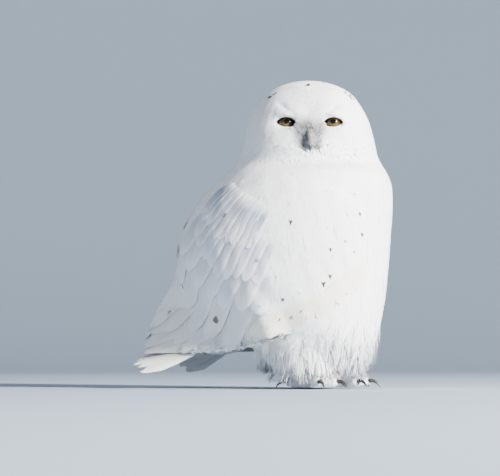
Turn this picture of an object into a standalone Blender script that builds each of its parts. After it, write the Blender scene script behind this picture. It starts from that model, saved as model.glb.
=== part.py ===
"""A life-size snowy owl that stands on a flat floor, its head turned to its right.

The bird faces -Y, its right side is -X and +Z is up, in metres. The floor is at z = 0 and the
origin lies on it, under the middle of the whole bird. Every solid reaches out to the tips of the
feathers. Head, neck and trunk are lofts that share their sections where they meet. The wings lie
along the trunk's sides, and each soft piece is trimmed to clear the one that it lies against.
"""

import math

import bmesh
import bpy
import numpy as np
from mathutils import Matrix, Vector

# ---------------------------------------------------------------- driving dimensions (metres)
GAP = 0.0004  # clearance between neighbouring solids
BLOCK = 0.6  # side of the blocks that cut a solid flat

# Trunk: height, reach of the breast (towards -Y), reach of the back (towards +Y), half width
TRUNK_SECTIONS = (
    (0.028, 0.062, 0.010, 0.042),
    (0.040, 0.088, 0.036, 0.062),
    (0.060, 0.102, 0.068, 0.080),
    (0.090, 0.110, 0.106, 0.097),
    (0.130, 0.117, 0.148, 0.110),
    (0.175, 0.121, 0.169, 0.118),
    (0.215, 0.124, 0.160, 0.121),
    (0.250, 0.126, 0.141, 0.118),
    (0.280, 0.124, 0.109, 0.110),
    (0.305, 0.115, 0.086, 0.098),
    (0.320, 0.106, 0.076, 0.090),
)
NECK_BASE = 0.276  # height of the cut between trunk and neck
NECK_TOP = 0.310  # height of the cut between neck and head, at the nape
CHIN_DROP = 0.012  # how much lower that cut is under the face
NECK_FLARE = 1.03  # how much wider than the head the neck is at the cut
TRUNK_SQUARENESS = 2.15  # exponent of the trunk's section, where 2 is an ellipse
RUMP_CENTRE = (0.0, 0.082, 0.088)
RUMP_RADII = (0.046, 0.075, 0.034)
RUMP_PITCH = math.radians(-24)

# Head, in its own frame: the face looks along -Y, x = 0 is the middle of the face.
# Height, half width, reach of the face, reach of the nape
HEAD_SECTIONS = (
    (0.306, 0.0955, 0.0855, 0.0850),
    (0.326, 0.0920, 0.0835, 0.0830),
    (0.345, 0.0875, 0.0800, 0.0810),
    (0.361, 0.0830, 0.0760, 0.0780),
    (0.375, 0.0765, 0.0710, 0.0730),
    (0.388, 0.0685, 0.0640, 0.0660),
    (0.399, 0.0595, 0.0555, 0.0575),
    (0.407, 0.0480, 0.0445, 0.0460),
    (0.413, 0.0335, 0.0310, 0.0325),
    (0.417, 0.0180, 0.0165, 0.0175),
    (0.4185, 0.0060, 0.0055, 0.0060),
)
HEAD_SQUARENESS = 2.2
HEAD_TURN = math.radians(-72)  # the face looks over the right shoulder
HEAD_PLACE = (0.0035, -0.0112, 0.0)

# Face: what stands out of the head (+) or sinks into it (-) along the face's own direction.
# Sideways and height of its centre, its two radii, how far; all but the first two are paired.
BILL_MOUND = (0.0, 0.337, 0.015, 0.020, 0.0050)
BROW_FURROW = (0.0, 0.369, 0.009, 0.012, -0.0020)
PAIRED_FORMS = (
    (0.030, 0.3690, 0.021, 0.0075, 0.0040),  # brow
    (0.031, 0.3555, 0.018, 0.0095, -0.0050),  # hollow of the eye
    (0.036, 0.3320, 0.025, 0.0180, 0.0030),  # cheek
)

# Eyes, in the head's frame
EYE_RADIUS = 0.0125
EYE_CENTRE = (0.0312, -0.0540, 0.3553)
EYE_OPENING = (0.0245, 0.0125)  # width and height between the lids
EYE_OUTWARD = math.radians(8)  # each eye looks a little to its own side

# Bill, in the head's frame: points of its middle line and its radius there
BILL_LINE = (
    ((0.0, -0.0720, 0.3430), 0.0070),
    ((0.0, -0.0830, 0.3370), 0.0062),
    ((0.0, -0.0895, 0.3280), 0.0046),
    ((0.0, -0.0900, 0.3190), 0.0025),
    ((0.0, -0.0880, 0.3130), 0.0006),
)

# Wings: stations from wrist to tip. Reach forward and height of the lower edge, then of the upper
WING_STATIONS = (
    (0.113, 0.184, 0.112, 0.214),
    (0.106, 0.148, 0.092, 0.252),
    (0.076, 0.110, 0.042, 0.273),
    (0.030, 0.080, -0.030, 0.272),
    (-0.022, 0.060, -0.090, 0.246),
    (-0.074, 0.050, -0.140, 0.204),
    (-0.126, 0.048, -0.172, 0.158),
    (-0.176, 0.048, -0.203, 0.108),
    (-0.212, 0.047, -0.220, 0.066),
)
WING_THICKNESS = 0.010
WING_RINGS = 18
WING_POINTS = 8
WING_PROUD = 0.0025  # how far the wing stands out of the trunk's side
BLADE_OVER_RUMP = (0.088, 0.016)  # how far out the lower and upper edges lie, behind the trunk
BLADE_AT_TIP = (0.044, 0.004)  # and at the very tips, which close like a roof over the tail
BLADE_RUN = (0.050, 0.215)  # y where the one and the other are reached

# Tail: a fan of feathers, arched, its outer feathers down on the floor
TAIL_FEATHERS = 12
TAIL_ROOT = (0.050, 0.092)  # y and z of the point that the feathers spread from
TAIL_LENGTH = 0.178
TAIL_SPREAD = math.radians(42)  # from the middle to either edge
TAIL_DROP = math.radians(16.5)  # how steeply the middle feathers fall
TAIL_ARCH = 0.044  # how much lower the edges are than the middle, at the tips
TAIL_THICKNESS = (0.007, 0.0022)  # at the root and at the tips
TAIL_SCALLOP = 0.007  # how far the middle of a feather's tip stands out past its edges

# Legs and feet. Positions are x outwards and y of the ankle
ANKLE_RIGHT = (0.046, -0.024)
ANKLE_LEFT = (0.046, -0.040)
ANKLE_CUT = 0.0245  # height of the cut between foot and leg
LEG_SECTIONS = (  # height, half width, half depth, shift backwards
    (0.022, 0.027, 0.034, 0.002),
    (0.040, 0.036, 0.044, 0.006),
    (0.062, 0.039, 0.048, 0.010),
    (0.085, 0.040, 0.048, 0.014),
)
TOE_RADIUS = 0.0108
TOE_HEIGHT = 0.0088  # of the toe's middle line, so that its pad is cut flat
TOES = (  # name, direction from straight ahead (outwards is positive), length
    ("inner", math.radians(-24), 0.036),
    ("middle", math.radians(6), 0.043),
    ("outer", math.radians(48), 0.036),
    ("hind", math.radians(172), 0.027),
)
CLAW_LENGTH = 0.019
CLAW_RADIUS = 0.0033

COAT_WHITE = (0.90, 0.90, 0.89, 1.0)
HORN_BLACK = (0.02, 0.02, 0.022, 1.0)
IRIS_AMBER = (0.72, 0.48, 0.10, 1.0)


# ---------------------------------------------------------------- small helpers
def clear_scene():
    for obj in list(bpy.data.objects):
        bpy.data.objects.remove(obj)


def material(name, colour, roughness):
    made = bpy.data.materials.new(name)
    made.use_nodes = True
    shader = made.node_tree.nodes["Principled BSDF"]
    shader.inputs["Base Color"].default_value = colour
    shader.inputs["Roughness"].default_value = roughness
    return made


def collection(name):
    made = bpy.data.collections.new(name)
    bpy.context.scene.collection.children.link(made)
    return made


def add_object(name, mesh, group, finish=None):
    obj = bpy.data.objects.new(name, mesh)
    group.objects.link(obj)
    if finish:
        obj.data.materials.append(finish)
    return obj


def mesh_from(bm, name):
    """The finished mesh, in triangles, so that a Boolean reads curved quads the same way."""
    bmesh.ops.recalc_face_normals(bm, faces=bm.faces)
    bmesh.ops.triangulate(bm, faces=bm.faces)
    mesh = bpy.data.meshes.new(name)
    bm.to_mesh(mesh)
    bm.free()
    mesh.shade_smooth()
    mesh.set_sharp_from_angle(angle=math.radians(40))
    return mesh


def as_mesh(obj, group):
    """The object's evaluated shape as a plain mesh object of the same name, with its caps welded."""
    bpy.context.view_layer.update()
    graph = bpy.context.evaluated_depsgraph_get()
    mesh = bpy.data.meshes.new_from_object(obj.evaluated_get(graph))
    bm = bmesh.new()
    bm.from_mesh(mesh)
    bmesh.ops.remove_doubles(bm, verts=bm.verts, dist=1e-5)
    bm.to_mesh(mesh)
    bm.free()
    name, matrix = obj.name, obj.matrix_world.copy()
    bpy.data.objects.remove(obj)
    made = add_object(name, mesh, group)
    made.matrix_world = matrix
    return made


def smooth_row(table, key):
    """The row of a table at this value of its first column, on a smooth curve through the rows."""
    rows = np.array(table, float)
    stops = rows[:, 0]
    slopes = np.gradient(rows, stops, axis=0)
    i = int(np.clip(np.searchsorted(stops, key) - 1, 0, len(stops) - 2))
    span = stops[i + 1] - stops[i]
    t = (key - stops[i]) / span
    return (
        (2 * t**3 - 3 * t**2 + 1) * rows[i]
        + (t**3 - 2 * t**2 + t) * span * slopes[i]
        + (3 * t**2 - 2 * t**3) * rows[i + 1]
        + (t**3 - t**2) * span * slopes[i + 1]
    )


def squared(angle, exponent):
    """Cosine and sine of an angle, on a superellipse of this exponent."""
    c, s = math.cos(angle), math.sin(angle)
    power = 2 / exponent
    return math.copysign(abs(c) ** power, c), math.copysign(abs(s) ** power, s)


def loft(name, rings, group, finish, blade=False):
    """A closed skin over rings of equally many points, capped at both ends. A blade's ring goes
    out along one face and back along the other, and its caps join the two point by point."""
    bm = bmesh.new()
    made = [[bm.verts.new(point) for point in ring] for ring in rings]
    count = len(rings[0])
    for low, high in zip(made, made[1:]):
        for i in range(count):
            j = (i + 1) % count
            bm.faces.new((low[i], low[j], high[j], high[i]))
    for ring in (made[0], made[-1]):
        if blade:
            for i in range(count // 2 - 1):
                bm.faces.new((ring[i], ring[i + 1], ring[-2 - i], ring[-1 - i]))
            continue
        middle = bm.verts.new(sum((v.co for v in ring), Vector()) / count)
        for i in range(count):
            bm.faces.new((ring[i], ring[(i + 1) % count], middle))
    return add_object(name, mesh_from(bm, name), group, finish)


def boolean(obj, other, operation):
    modifier = obj.modifiers.new(operation.title(), "BOOLEAN")
    modifier.operation = operation
    modifier.solver = "EXACT"
    modifier.object = other
    return modifier


def grown_copy(obj, distance, group):
    """A hidden copy of the shape with its faces moved outwards, for cutting its neighbours."""
    bpy.context.view_layer.update()
    graph = bpy.context.evaluated_depsgraph_get()
    mesh = bpy.data.meshes.new_from_object(obj.evaluated_get(graph))
    cutter = add_object(obj.name + ".clearance", mesh, group)
    cutter.matrix_world = obj.matrix_world
    swell = cutter.modifiers.new("Clearance", "DISPLACE")
    swell.strength = distance
    swell.mid_level = 0.0
    return cutter


def hide(obj):
    obj.hide_render = True
    obj.display_type = "WIRE"


def flat_block(name, height, side, group):
    """A block under (-1) or over (1) a level, for cutting a solid flat there."""
    bm = bmesh.new()
    bmesh.ops.create_cube(bm, size=BLOCK)
    bmesh.ops.translate(bm, vec=(0.0, 0.0, height + side * BLOCK / 2), verts=bm.verts)
    made = add_object(name, mesh_from(bm, name), group)
    hide(made)
    return made


def ellipsoid(name, centre, radii, pitch, group, finish=None, segments=16, rings=9):
    bm = bmesh.new()
    bmesh.ops.create_uvsphere(bm, u_segments=segments, v_segments=rings, radius=1.0)
    bmesh.ops.scale(bm, vec=radii, verts=bm.verts)
    turn = Matrix.Rotation(pitch, 4, "X")
    bmesh.ops.transform(bm, matrix=Matrix.Translation(centre) @ turn, verts=bm.verts)
    return add_object(name, mesh_from(bm, name), group, finish)


def trim(obj, neighbours, cutters):
    for other in neighbours:
        cutter = grown_copy(other, GAP, cutters)
        hide(cutter)
        boolean(obj, cutter, "DIFFERENCE")


# ---------------------------------------------------------------- trunk and neck
def trunk_point(height, angle, lift=0.0):
    """A point of the trunk's outer form. Angle 0 is the left side, a quarter turn is the back."""
    _, breast, back, half_width = smooth_row(TRUNK_SECTIONS, height)
    c, s = squared(angle, TRUNK_SQUARENESS)
    middle, half_depth = (back - breast) / 2, (back + breast) / 2
    return Vector(((half_width + lift) * c, middle + (half_depth + lift) * s, height))


def trunk_rings(low, high, levels, points):
    return [
        [trunk_point(height, math.tau * i / points) for i in range(points)]
        for height in np.linspace(low, high, levels)
    ]


def build_trunk(parts, cutters, finish):
    trunk = loft("trunk", trunk_rings(TRUNK_SECTIONS[0][0], NECK_BASE, 17, 28), parts, finish)
    rump = ellipsoid("rump", RUMP_CENTRE, RUMP_RADII, RUMP_PITCH, cutters)
    hide(rump)
    boolean(trunk, rump, "UNION")
    return trunk


def build_neck(parts, finish):
    """From the trunk's own section to one a little wider than the head's, under its cut."""
    to_world = head_matrix()
    rings = []
    for t in np.linspace(0, 1, 5):
        height = NECK_BASE + GAP + (NECK_TOP - NECK_BASE - 2 * GAP) * t
        ring = []
        for i in range(28):
            angle = math.tau * i / 28
            above = head_point(height, angle - HEAD_TURN, NECK_FLARE)
            above.z = height - CHIN_DROP * towards_face(angle - HEAD_TURN) * t
            below = trunk_point(height, angle)
            ring.append(below.lerp(to_world @ above, t * t))
        rings.append(ring)
    return loft("neck", rings, parts, finish)


# ---------------------------------------------------------------- head
def swell(x, z, form):
    """How far one form of the face stands out at this place, falling smoothly to nothing."""
    centre_x, centre_z, radius_x, radius_z, depth = form
    off = ((x - centre_x) / radius_x) ** 2 + ((z - centre_z) / radius_z) ** 2
    return depth * math.exp(-off)


def face_depth(x, z):
    total = swell(x, z, BILL_MOUND) + swell(x, z, BROW_FURROW)
    for form in PAIRED_FORMS:
        mirrored = (-form[0], *form[1:])
        total += swell(x, z, form) + swell(x, z, mirrored)
    return total


def towards_face(angle):
    """1 where a point of a ring faces forwards, 0 from the sides on back."""
    return max(0.0, -math.sin(angle))


def head_point(height, angle, scale=1.0):
    """A point of the head in its own frame. Angle 0 is its left side, a quarter turn its nape."""
    _, half_width, face, nape = smooth_row(HEAD_SECTIONS, height)
    c, s = squared(angle, HEAD_SQUARENESS)
    x, reach = half_width * c * scale, (face if s < 0 else nape) * s * scale
    forward = min(1.0, 2 * towards_face(angle))
    return Vector((x, reach - forward * face_depth(x, height), height))


def head_matrix():
    return Matrix.Translation(HEAD_PLACE) @ Matrix.Rotation(HEAD_TURN, 4, "Z")


def in_head(obj):
    obj.matrix_world = head_matrix()
    return obj


def build_head(parts, finish):
    """Rings from the cut at the neck, which is lower under the face, to the closing crown."""
    low, high = NECK_TOP, HEAD_SECTIONS[-1][0]
    rings = []
    for t in np.linspace(0, 1, 18):
        height = low + (high - low) * math.sin(t * math.pi / 2)
        ring = []
        for i in range(36):
            angle = math.tau * i / 36
            lower = CHIN_DROP * towards_face(angle) * (1 - t) ** 2
            point = head_point(height - lower, angle)
            ring.append(point)
        rings.append(ring)
    return in_head(loft("head", rings, parts, finish))


def lid_outline(side):
    """The almond between the lids as a flat curve: rounded below, straighter above, and pointed
    at its outer corner."""
    width, height = EYE_OPENING
    curve = bpy.data.curves.new("lids", "CURVE")
    curve.dimensions = "2D"
    curve.fill_mode = "BOTH"
    curve.extrude = EYE_RADIUS
    corners = (
        (-0.50, 0.02),
        (-0.30, 0.38),
        (0.10, 0.50),
        (0.36, 0.34),
        (0.52, 0.00),
        (0.28, -0.36),
        (0.00, -0.50),
        (-0.32, -0.38),
    )
    spline = curve.splines.new("POLY")
    spline.points.add(len(corners) - 1)
    for point, (across, up) in zip(spline.points, corners):
        point.co = (side * across * width, up * height, 0.0, 1.0)
    spline.use_cyclic_u = True
    return curve


def build_eye(name, side, head, parts, cutters, finish):
    """An eyeball in its socket, open to the front through the almond between the lids."""
    x, y, z = EYE_CENTRE
    centre = Vector((side * x, y, z))
    eye = in_head(ellipsoid(name, centre, (EYE_RADIUS,) * 3, 0.0, parts, finish, 18, 11))
    cutter = grown_copy(eye, GAP, cutters)
    hide(cutter)
    boolean(head, cutter, "DIFFERENCE")
    opening = add_object(name + ".opening", lid_outline(side), cutters)
    outward = Matrix.Rotation(side * EYE_OUTWARD, 4, "Z")
    forward = outward @ Vector((0.0, -EYE_RADIUS * 1.1, 0.0))
    upright = Matrix.Rotation(math.radians(90), 4, "X")
    placed = Matrix.Translation(centre + forward) @ outward @ upright
    opening.matrix_world = in_head(head).matrix_world @ placed
    opening = as_mesh(opening, cutters)
    hide(opening)
    boolean(head, opening, "DIFFERENCE")
    return eye


def horn(name, line, group, finish, resolution=2):
    """A tapering curved horn, such as a bill or a claw, along points with a radius at each."""
    curve = bpy.data.curves.new(name, "CURVE")
    curve.dimensions = "3D"
    curve.bevel_depth = 1.0
    curve.bevel_resolution = resolution
    curve.use_fill_caps = True
    curve.resolution_u = 2
    spline = curve.splines.new("BEZIER")
    spline.bezier_points.add(len(line) - 1)
    for point, (place, radius) in zip(spline.bezier_points, line):
        point.co = place
        point.radius = radius
        point.handle_left_type = point.handle_right_type = "AUTO"
    made = as_mesh(add_object(name, curve, group), group)
    made.data.materials.append(finish)
    return made


def build_bill(head, parts, cutters, finish):
    bill = horn("bill", BILL_LINE, parts, finish, resolution=3)
    in_head(bill)
    trim(head, [bill], cutters)
    return bill


# ---------------------------------------------------------------- wings
def flank(y, height, across):
    """How far out the folded wing's outer face lies. Across runs from 0 at its lower edge to 1 at
    the upper. The wing follows the trunk's side, then runs out behind it into its own blade."""
    _, breast, back, half_width = smooth_row(TRUNK_SECTIONS, height)
    middle, half_depth = (back - breast) / 2, (back + breast) / 2
    off = min(1.0, abs((y - middle) / half_depth))
    body = half_width * (1 - off**TRUNK_SQUARENESS) ** (1 / TRUNK_SQUARENESS)
    start, end = BLADE_RUN
    along = min(1.0, max(0.0, (y - start) / (end - start)))
    lower = BLADE_OVER_RUMP[0] + (BLADE_AT_TIP[0] - BLADE_OVER_RUMP[0]) * along
    upper = BLADE_OVER_RUMP[1] + (BLADE_AT_TIP[1] - BLADE_OVER_RUMP[1]) * along
    blade = (lower + (upper - lower) * across) if y > 0 else 0.0
    return (body**4 + blade**4) ** 0.25


def wing_ring(station, side, outward, margin):
    """A section across the wing, from its lower edge over the outer face and back inside."""
    _, low_reach, low_z, high_reach, high_z = station
    margin_share = margin / math.hypot(high_reach - low_reach, high_z - low_z)
    outer, inner = [], []
    for i in range(WING_POINTS):
        across = 0.5 - 0.5 * math.cos(math.pi * i / (WING_POINTS - 1))
        wider = across + margin_share * (2 * across - 1)
        y = -(low_reach + (high_reach - low_reach) * wider)
        z = low_z + (high_z - low_z) * wider
        fullness = 0.25 + 0.75 * (1 - (2 * across - 1) ** 4)
        x = flank(y, z, across) + WING_PROUD
        outer.append(Vector((side * (x + outward), y, z)))
        inner.append(Vector((side * (x - WING_THICKNESS * fullness - margin), y, z)))
    return outer + inner[::-1]


def wing_rings(side, outward=0.0, margin=0.0):
    table = [(i, *row) for i, row in enumerate(WING_STATIONS)]
    over = margin / 0.02
    stops = np.linspace(-over, len(WING_STATIONS) - 1 + over, WING_RINGS)
    return [wing_ring(smooth_row(table, along), side, outward, margin) for along in stops]


def build_wing(name, side, parts, finish):
    return loft(name, wing_rings(side), parts, finish, blade=True)


def wing_pocket(name, side, cutters):
    """The room that the wing needs in the trunk: open to the side, so that no sliver is left."""
    rings = wing_rings(side, outward=0.04, margin=GAP)
    pocket = loft(name, rings, cutters, None, blade=True)
    hide(pocket)
    return pocket


# ---------------------------------------------------------------- tail
def tail_point(along, across):
    """A point of the tail's upper face. Along runs from 0 at the root to 1 at the tips, across
    from -1 to 1 over the fan. Each feather's tip is rounded."""
    feather = (across + 1) / 2 * TAIL_FEATHERS
    rounding = TAIL_SCALLOP * abs(math.sin(math.pi * feather))
    reach = along * (TAIL_LENGTH - 0.012 * across**2 + rounding)
    angle = across * TAIL_SPREAD
    root_y, root_z = TAIL_ROOT
    x = reach * math.sin(angle) + 0.012 * across
    y = root_y + reach * math.cos(angle) * math.cos(TAIL_DROP)
    z = root_z - reach * math.sin(TAIL_DROP) - TAIL_ARCH * along * across**2
    return Vector((x, y, z))


def build_tail(parts, finish):
    """The fan, with a thickness that falls from root to tip, as a loft of sections along it."""
    columns = TAIL_FEATHERS * 3 + 1
    rings = []
    for along in np.linspace(0.05, 1, 6):
        thickness = TAIL_THICKNESS[0] + (TAIL_THICKNESS[1] - TAIL_THICKNESS[0]) * along
        upper = [tail_point(along, across) for across in np.linspace(-1, 1, columns)]
        rings.append(upper + [p - Vector((0, 0, thickness)) for p in upper[::-1]])
    return loft("tail", rings, parts, finish, blade=True)


# ---------------------------------------------------------------- legs and feet
def build_leg(name, side, ankle, parts, finish):
    rings = []
    for height in np.linspace(ANKLE_CUT + GAP, LEG_SECTIONS[-1][0], 6):
        _, half_width, half_depth, back = smooth_row(LEG_SECTIONS, height)
        centre = Vector((side * ankle[0], ankle[1] + back, height))
        ring = [math.tau * i / 18 for i in range(18)]
        rings.append(
            [centre + Vector((half_width * math.cos(a), half_depth * math.sin(a), 0)) for a in ring]
        )
    return loft(name, rings, parts, finish)


def toe_direction(side, turn):
    return Vector((side * math.sin(turn), -math.cos(turn), 0.0))


def build_foot(name, side, ankle, parts, cutters, finish):
    """The feathered foot: a pad with four toes joined to it, cut flat where it stands."""
    centre = Vector((side * ankle[0], ankle[1], TOE_HEIGHT + 0.004))
    foot = ellipsoid(name, centre, (0.021, 0.024, 0.0165), 0.0, parts, finish, 14, 8)
    for toe, turn, length in TOES:
        direction = toe_direction(side, turn)
        start = Vector((side * ankle[0], ankle[1], TOE_HEIGHT))
        along = ellipsoid(f"{name}.{toe}", (0, 0, 0), (1, 1, 1), 0.0, cutters, None, 10, 7)
        size = Matrix.Diagonal((TOE_RADIUS, length * 0.58, TOE_RADIUS, 1.0))
        turned = direction.to_track_quat("Y", "Z").to_matrix().to_4x4()
        along.data.transform(
            Matrix.Translation(start + direction * length * 0.5) @ turned @ size
        )
        hide(along)
        boolean(foot, along, "UNION")
    boolean(foot, flat_block(name + ".floor", 0.0, -1, cutters), "DIFFERENCE")
    boolean(foot, flat_block(name + ".ankle", ANKLE_CUT, 1, cutters), "DIFFERENCE")
    return foot


def build_claws(side_name, side, ankle, foot, parts, cutters, finish):
    """A curved claw at the end of each toe, its base inside the feathers of the toe."""
    claws = []
    for toe, turn, length in TOES:
        direction = toe_direction(side, turn)
        root = Vector((side * ankle[0], ankle[1], 0)) + direction * (length - 0.003)
        rise = Vector((0, 0, 1))
        line = (
            (root + rise * 0.0085, CLAW_RADIUS),
            (root + direction * CLAW_LENGTH * 0.40 + rise * 0.0102, CLAW_RADIUS * 0.90),
            (root + direction * CLAW_LENGTH * 0.78 + rise * 0.0066, CLAW_RADIUS * 0.55),
            (root + direction * CLAW_LENGTH + rise * 0.0008, CLAW_RADIUS * 0.16),
        )
        claw = horn(f"claw_{side_name}_{toe}", line, parts, finish, resolution=1)
        claws.append(claw)
    trim(foot, claws, cutters)
    return claws


# ---------------------------------------------------------------- the whole bird
def stand_on_origin(objects):
    """Moves the bird so that the origin is on the floor under the middle of its box."""
    bpy.context.view_layer.update()
    graph = bpy.context.evaluated_depsgraph_get()
    corners = []
    for obj in objects:
        shape = obj.evaluated_get(graph)
        corners += [shape.matrix_world @ Vector(corner) for corner in shape.bound_box]
    points = np.array([tuple(c) for c in corners])
    low, high = points.min(axis=0), points.max(axis=0)
    shift = Vector((-(low[0] + high[0]) / 2, -(low[1] + high[1]) / 2, -low[2]))
    for obj in bpy.data.objects:
        obj.matrix_world = Matrix.Translation(shift) @ obj.matrix_world
    return shift


def main():
    clear_scene()
    parts, cutters = collection("snowy_owl"), collection("cutters")
    coat = material("coat", COAT_WHITE, 0.9)
    dark_horn = material("horn", HORN_BLACK, 0.35)
    iris = material("iris", IRIS_AMBER, 0.15)

    trunk = build_trunk(parts, cutters, coat)
    neck = build_neck(parts, coat)
    head = build_head(parts, coat)
    bill = build_bill(head, parts, cutters, dark_horn)
    pieces = [trunk, neck, head, bill]
    for name, side in (("eye_right", -1), ("eye_left", 1)):
        pieces.append(build_eye(name, side, head, parts, cutters, iris))

    for side_name, side in (("right", -1), ("left", 1)):
        pieces.append(build_wing(f"wing_{side_name}", side, parts, coat))
        boolean(trunk, wing_pocket(f"pocket_{side_name}", side, cutters), "DIFFERENCE")
    tail = build_tail(parts, coat)
    trim(tail, [trunk], cutters)
    boolean(tail, flat_block("tail.floor", 0.0, -1, cutters), "DIFFERENCE")
    pieces.append(tail)

    for side_name, side, ankle in (("right", -1, ANKLE_RIGHT), ("left", 1, ANKLE_LEFT)):
        foot = build_foot(f"foot_{side_name}", side, ankle, parts, cutters, coat)
        claws = build_claws(side_name, side, ankle, foot, parts, cutters, dark_horn)
        leg = build_leg(f"leg_{side_name}", side, ankle, parts, coat)
        trim(leg, [trunk], cutters)
        pieces += [foot, leg, *claws]
    stand_on_origin(pieces)


main()
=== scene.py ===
# %% [markdown]
# # A snowy owl, feather by feather
#
# The solids of the bird are already made: they give its size, its stance and its outline out to
# the tips of the feathers. This lesson dresses them. One smooth skin takes the place of head,
# neck, trunk, legs and feet, thousands of small feathers are laid over it along the lie of a real
# coat, and the flight feathers of wings and tail are set in their rows by name.

import math

import bpy
import numpy as np
from mathutils import Matrix, Vector
from mathutils.bvhtree import BVHTree
from mathutils.kdtree import KDTree


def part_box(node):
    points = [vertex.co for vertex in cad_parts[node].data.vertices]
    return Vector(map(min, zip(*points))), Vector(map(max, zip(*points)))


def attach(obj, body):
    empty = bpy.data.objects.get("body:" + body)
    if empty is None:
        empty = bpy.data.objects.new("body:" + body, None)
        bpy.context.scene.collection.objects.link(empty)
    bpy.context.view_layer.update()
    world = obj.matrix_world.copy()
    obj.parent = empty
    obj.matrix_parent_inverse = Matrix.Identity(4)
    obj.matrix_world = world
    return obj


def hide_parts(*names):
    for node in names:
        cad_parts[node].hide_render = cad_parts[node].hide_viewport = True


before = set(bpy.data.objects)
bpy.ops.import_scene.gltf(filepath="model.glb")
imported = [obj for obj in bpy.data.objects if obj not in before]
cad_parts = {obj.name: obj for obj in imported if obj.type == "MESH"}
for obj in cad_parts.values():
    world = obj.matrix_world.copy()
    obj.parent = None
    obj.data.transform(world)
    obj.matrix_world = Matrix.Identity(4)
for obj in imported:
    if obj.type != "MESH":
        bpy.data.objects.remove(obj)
for name in ("Cube", "Camera", "Light"):
    if name in bpy.data.objects:
        bpy.data.objects.remove(bpy.data.objects[name])
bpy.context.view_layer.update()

# %% [markdown]
# ## Where things are
#
# Places are read from the solids, so that nothing has to be fitted by eye. The line between the
# two eyes tells which way the face looks. The middle of the head lies behind them, and forms of
# the face are given by how far they are beside it, above it and ahead of it.


# %% Read the main places from the frame
def middle(node):
    low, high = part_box(node)
    return (low + high) / 2


UP = Vector((0, 0, 1))
EYES = {"right": middle("eye_right"), "left": middle("eye_left")}
EYE_RADIUS = (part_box("eye_right")[1].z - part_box("eye_right")[0].z) / 2
ACROSS = (EYES["left"] - EYES["right"]).normalized()
FACING = UP.cross(ACROSS).normalized() * -1
NECK_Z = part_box("head")[0].z
BILL_TIP_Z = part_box("bill")[0].z
HEAD_MIDDLE = (EYES["left"] + EYES["right"]) / 2 - FACING * 0.054
FACE_Z = HEAD_MIDDLE.z
A, F = np.array(ACROSS), np.array(FACING)


def from_head(places):
    """How far these places lie to the left of the head's middle, above it and ahead of it."""
    gaps = places - np.array(HEAD_MIDDLE)
    return gaps @ A, gaps[:, 2], gaps @ F


print("the face looks along", [round(v, 3) for v in FACING])


# %% [markdown]
# ## Small helpers
#
# Operators act on whatever is selected, and loading a file leaves all that it brought selected.
# So each step starts by clearing the selection. A copy of a solid is merged first, because its
# mesh is a loose heap of triangles. Points and normals are read as arrays of numbers, because a
# coat of thousands of feathers is worked out in whole groups.


# %% Helpers for picking, copying and finishing objects
def pick(*objects):
    """Selects these objects, or nothing at all."""
    bpy.ops.object.select_all(action="DESELECT")
    for obj in objects:
        obj.select_set(True)
    if objects:
        bpy.context.view_layer.objects.active = objects[0]


def copy_of(name, *nodes):
    """One new object made of merged copies of these solids."""
    pick(*(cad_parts[node] for node in nodes))
    bpy.ops.object.duplicate()
    made = list(bpy.context.selected_objects)
    bpy.context.view_layer.objects.active = made[0]
    if len(made) > 1:
        bpy.ops.object.join()
    joined = bpy.context.object
    joined.name = joined.data.name = name
    for key in list(joined.keys()):
        del joined[key]
    joined.parent = None
    bpy.ops.object.mode_set(mode="EDIT")
    bpy.ops.mesh.select_all(action="SELECT")
    bpy.ops.mesh.remove_doubles(threshold=1e-5)
    bpy.ops.object.mode_set(mode="OBJECT")
    joined.data.materials.clear()
    return joined


def modify(obj, kind, **settings):
    """Adds a modifier, sets it and applies it."""
    modifier = obj.modifiers.new(kind.title(), kind)
    for key, value in settings.items():
        setattr(modifier, key, value)
    pick(obj)
    bpy.ops.object.modifier_apply(modifier=modifier.name)
    return obj


def read_vertices(obj, what):
    values = np.empty(len(obj.data.vertices) * 3)
    obj.data.vertices.foreach_get(what, values)
    return values.reshape(-1, 3)


def places_of(obj):
    return read_vertices(obj, "co")


def normals_of(obj):
    return read_vertices(obj, "normal")


def move_vertices(obj, places):
    obj.data.vertices.foreach_set("co", places.ravel())


def tree_of(obj):
    """A search tree over an object's faces, for nearest points and for lines that hit it."""
    corners = [vertex.co for vertex in obj.data.vertices]
    return BVHTree.FromPolygons(corners, [face.vertices for face in obj.data.polygons])


def ramp(values, low, high):
    """0 below the one limit, 1 above the other, and smooth in between."""
    t = np.clip((np.asarray(values) - low) / (high - low), 0, 1)
    return t * t * (3 - 2 * t)


def unit(rows):
    return rows / np.maximum(np.linalg.norm(rows, axis=-1, keepdims=True), 1e-12)


# %% [markdown]
# ## Shader maths as Python
#
# Procedural materials are mostly arithmetic. A tiny class wraps a socket, so that `1 - mask`
# adds the Math node for us.


# %% A socket that understands arithmetic
class Wire:
    """One output socket. Python's operators on it add Math nodes."""

    def __init__(self, board, socket):
        self.board, self.socket = board, socket

    def math(self, operation, other=None, clamp=False, flip=False):
        values = [other, self] if flip else [self, other]
        values = [value for value in values if value is not None]
        settings = {"operation": operation, "use_clamp": clamp}
        return self.board.node("ShaderNodeMath", settings, *values)

    def __add__(self, other):
        return self.math("ADD", other)

    def __sub__(self, other):
        return self.math("SUBTRACT", other)

    def __rsub__(self, other):
        return self.math("SUBTRACT", other, flip=True)

    def __mul__(self, other):
        return self.math("MULTIPLY", other)

    def __truediv__(self, other):
        return self.math("DIVIDE", other)

    __radd__, __rmul__ = __add__, __mul__

    def between(self, low, high):
        """0 to 1 as the value goes from low to high."""
        return self.board.node("ShaderNodeMapRange", {"clamp": True}, self, low, high)


# %% [markdown]
# A second class is the board that the nodes are placed on. It makes the material, and it adds
# any node in a single call: its type, its settings, and what goes into its sockets.


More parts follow.
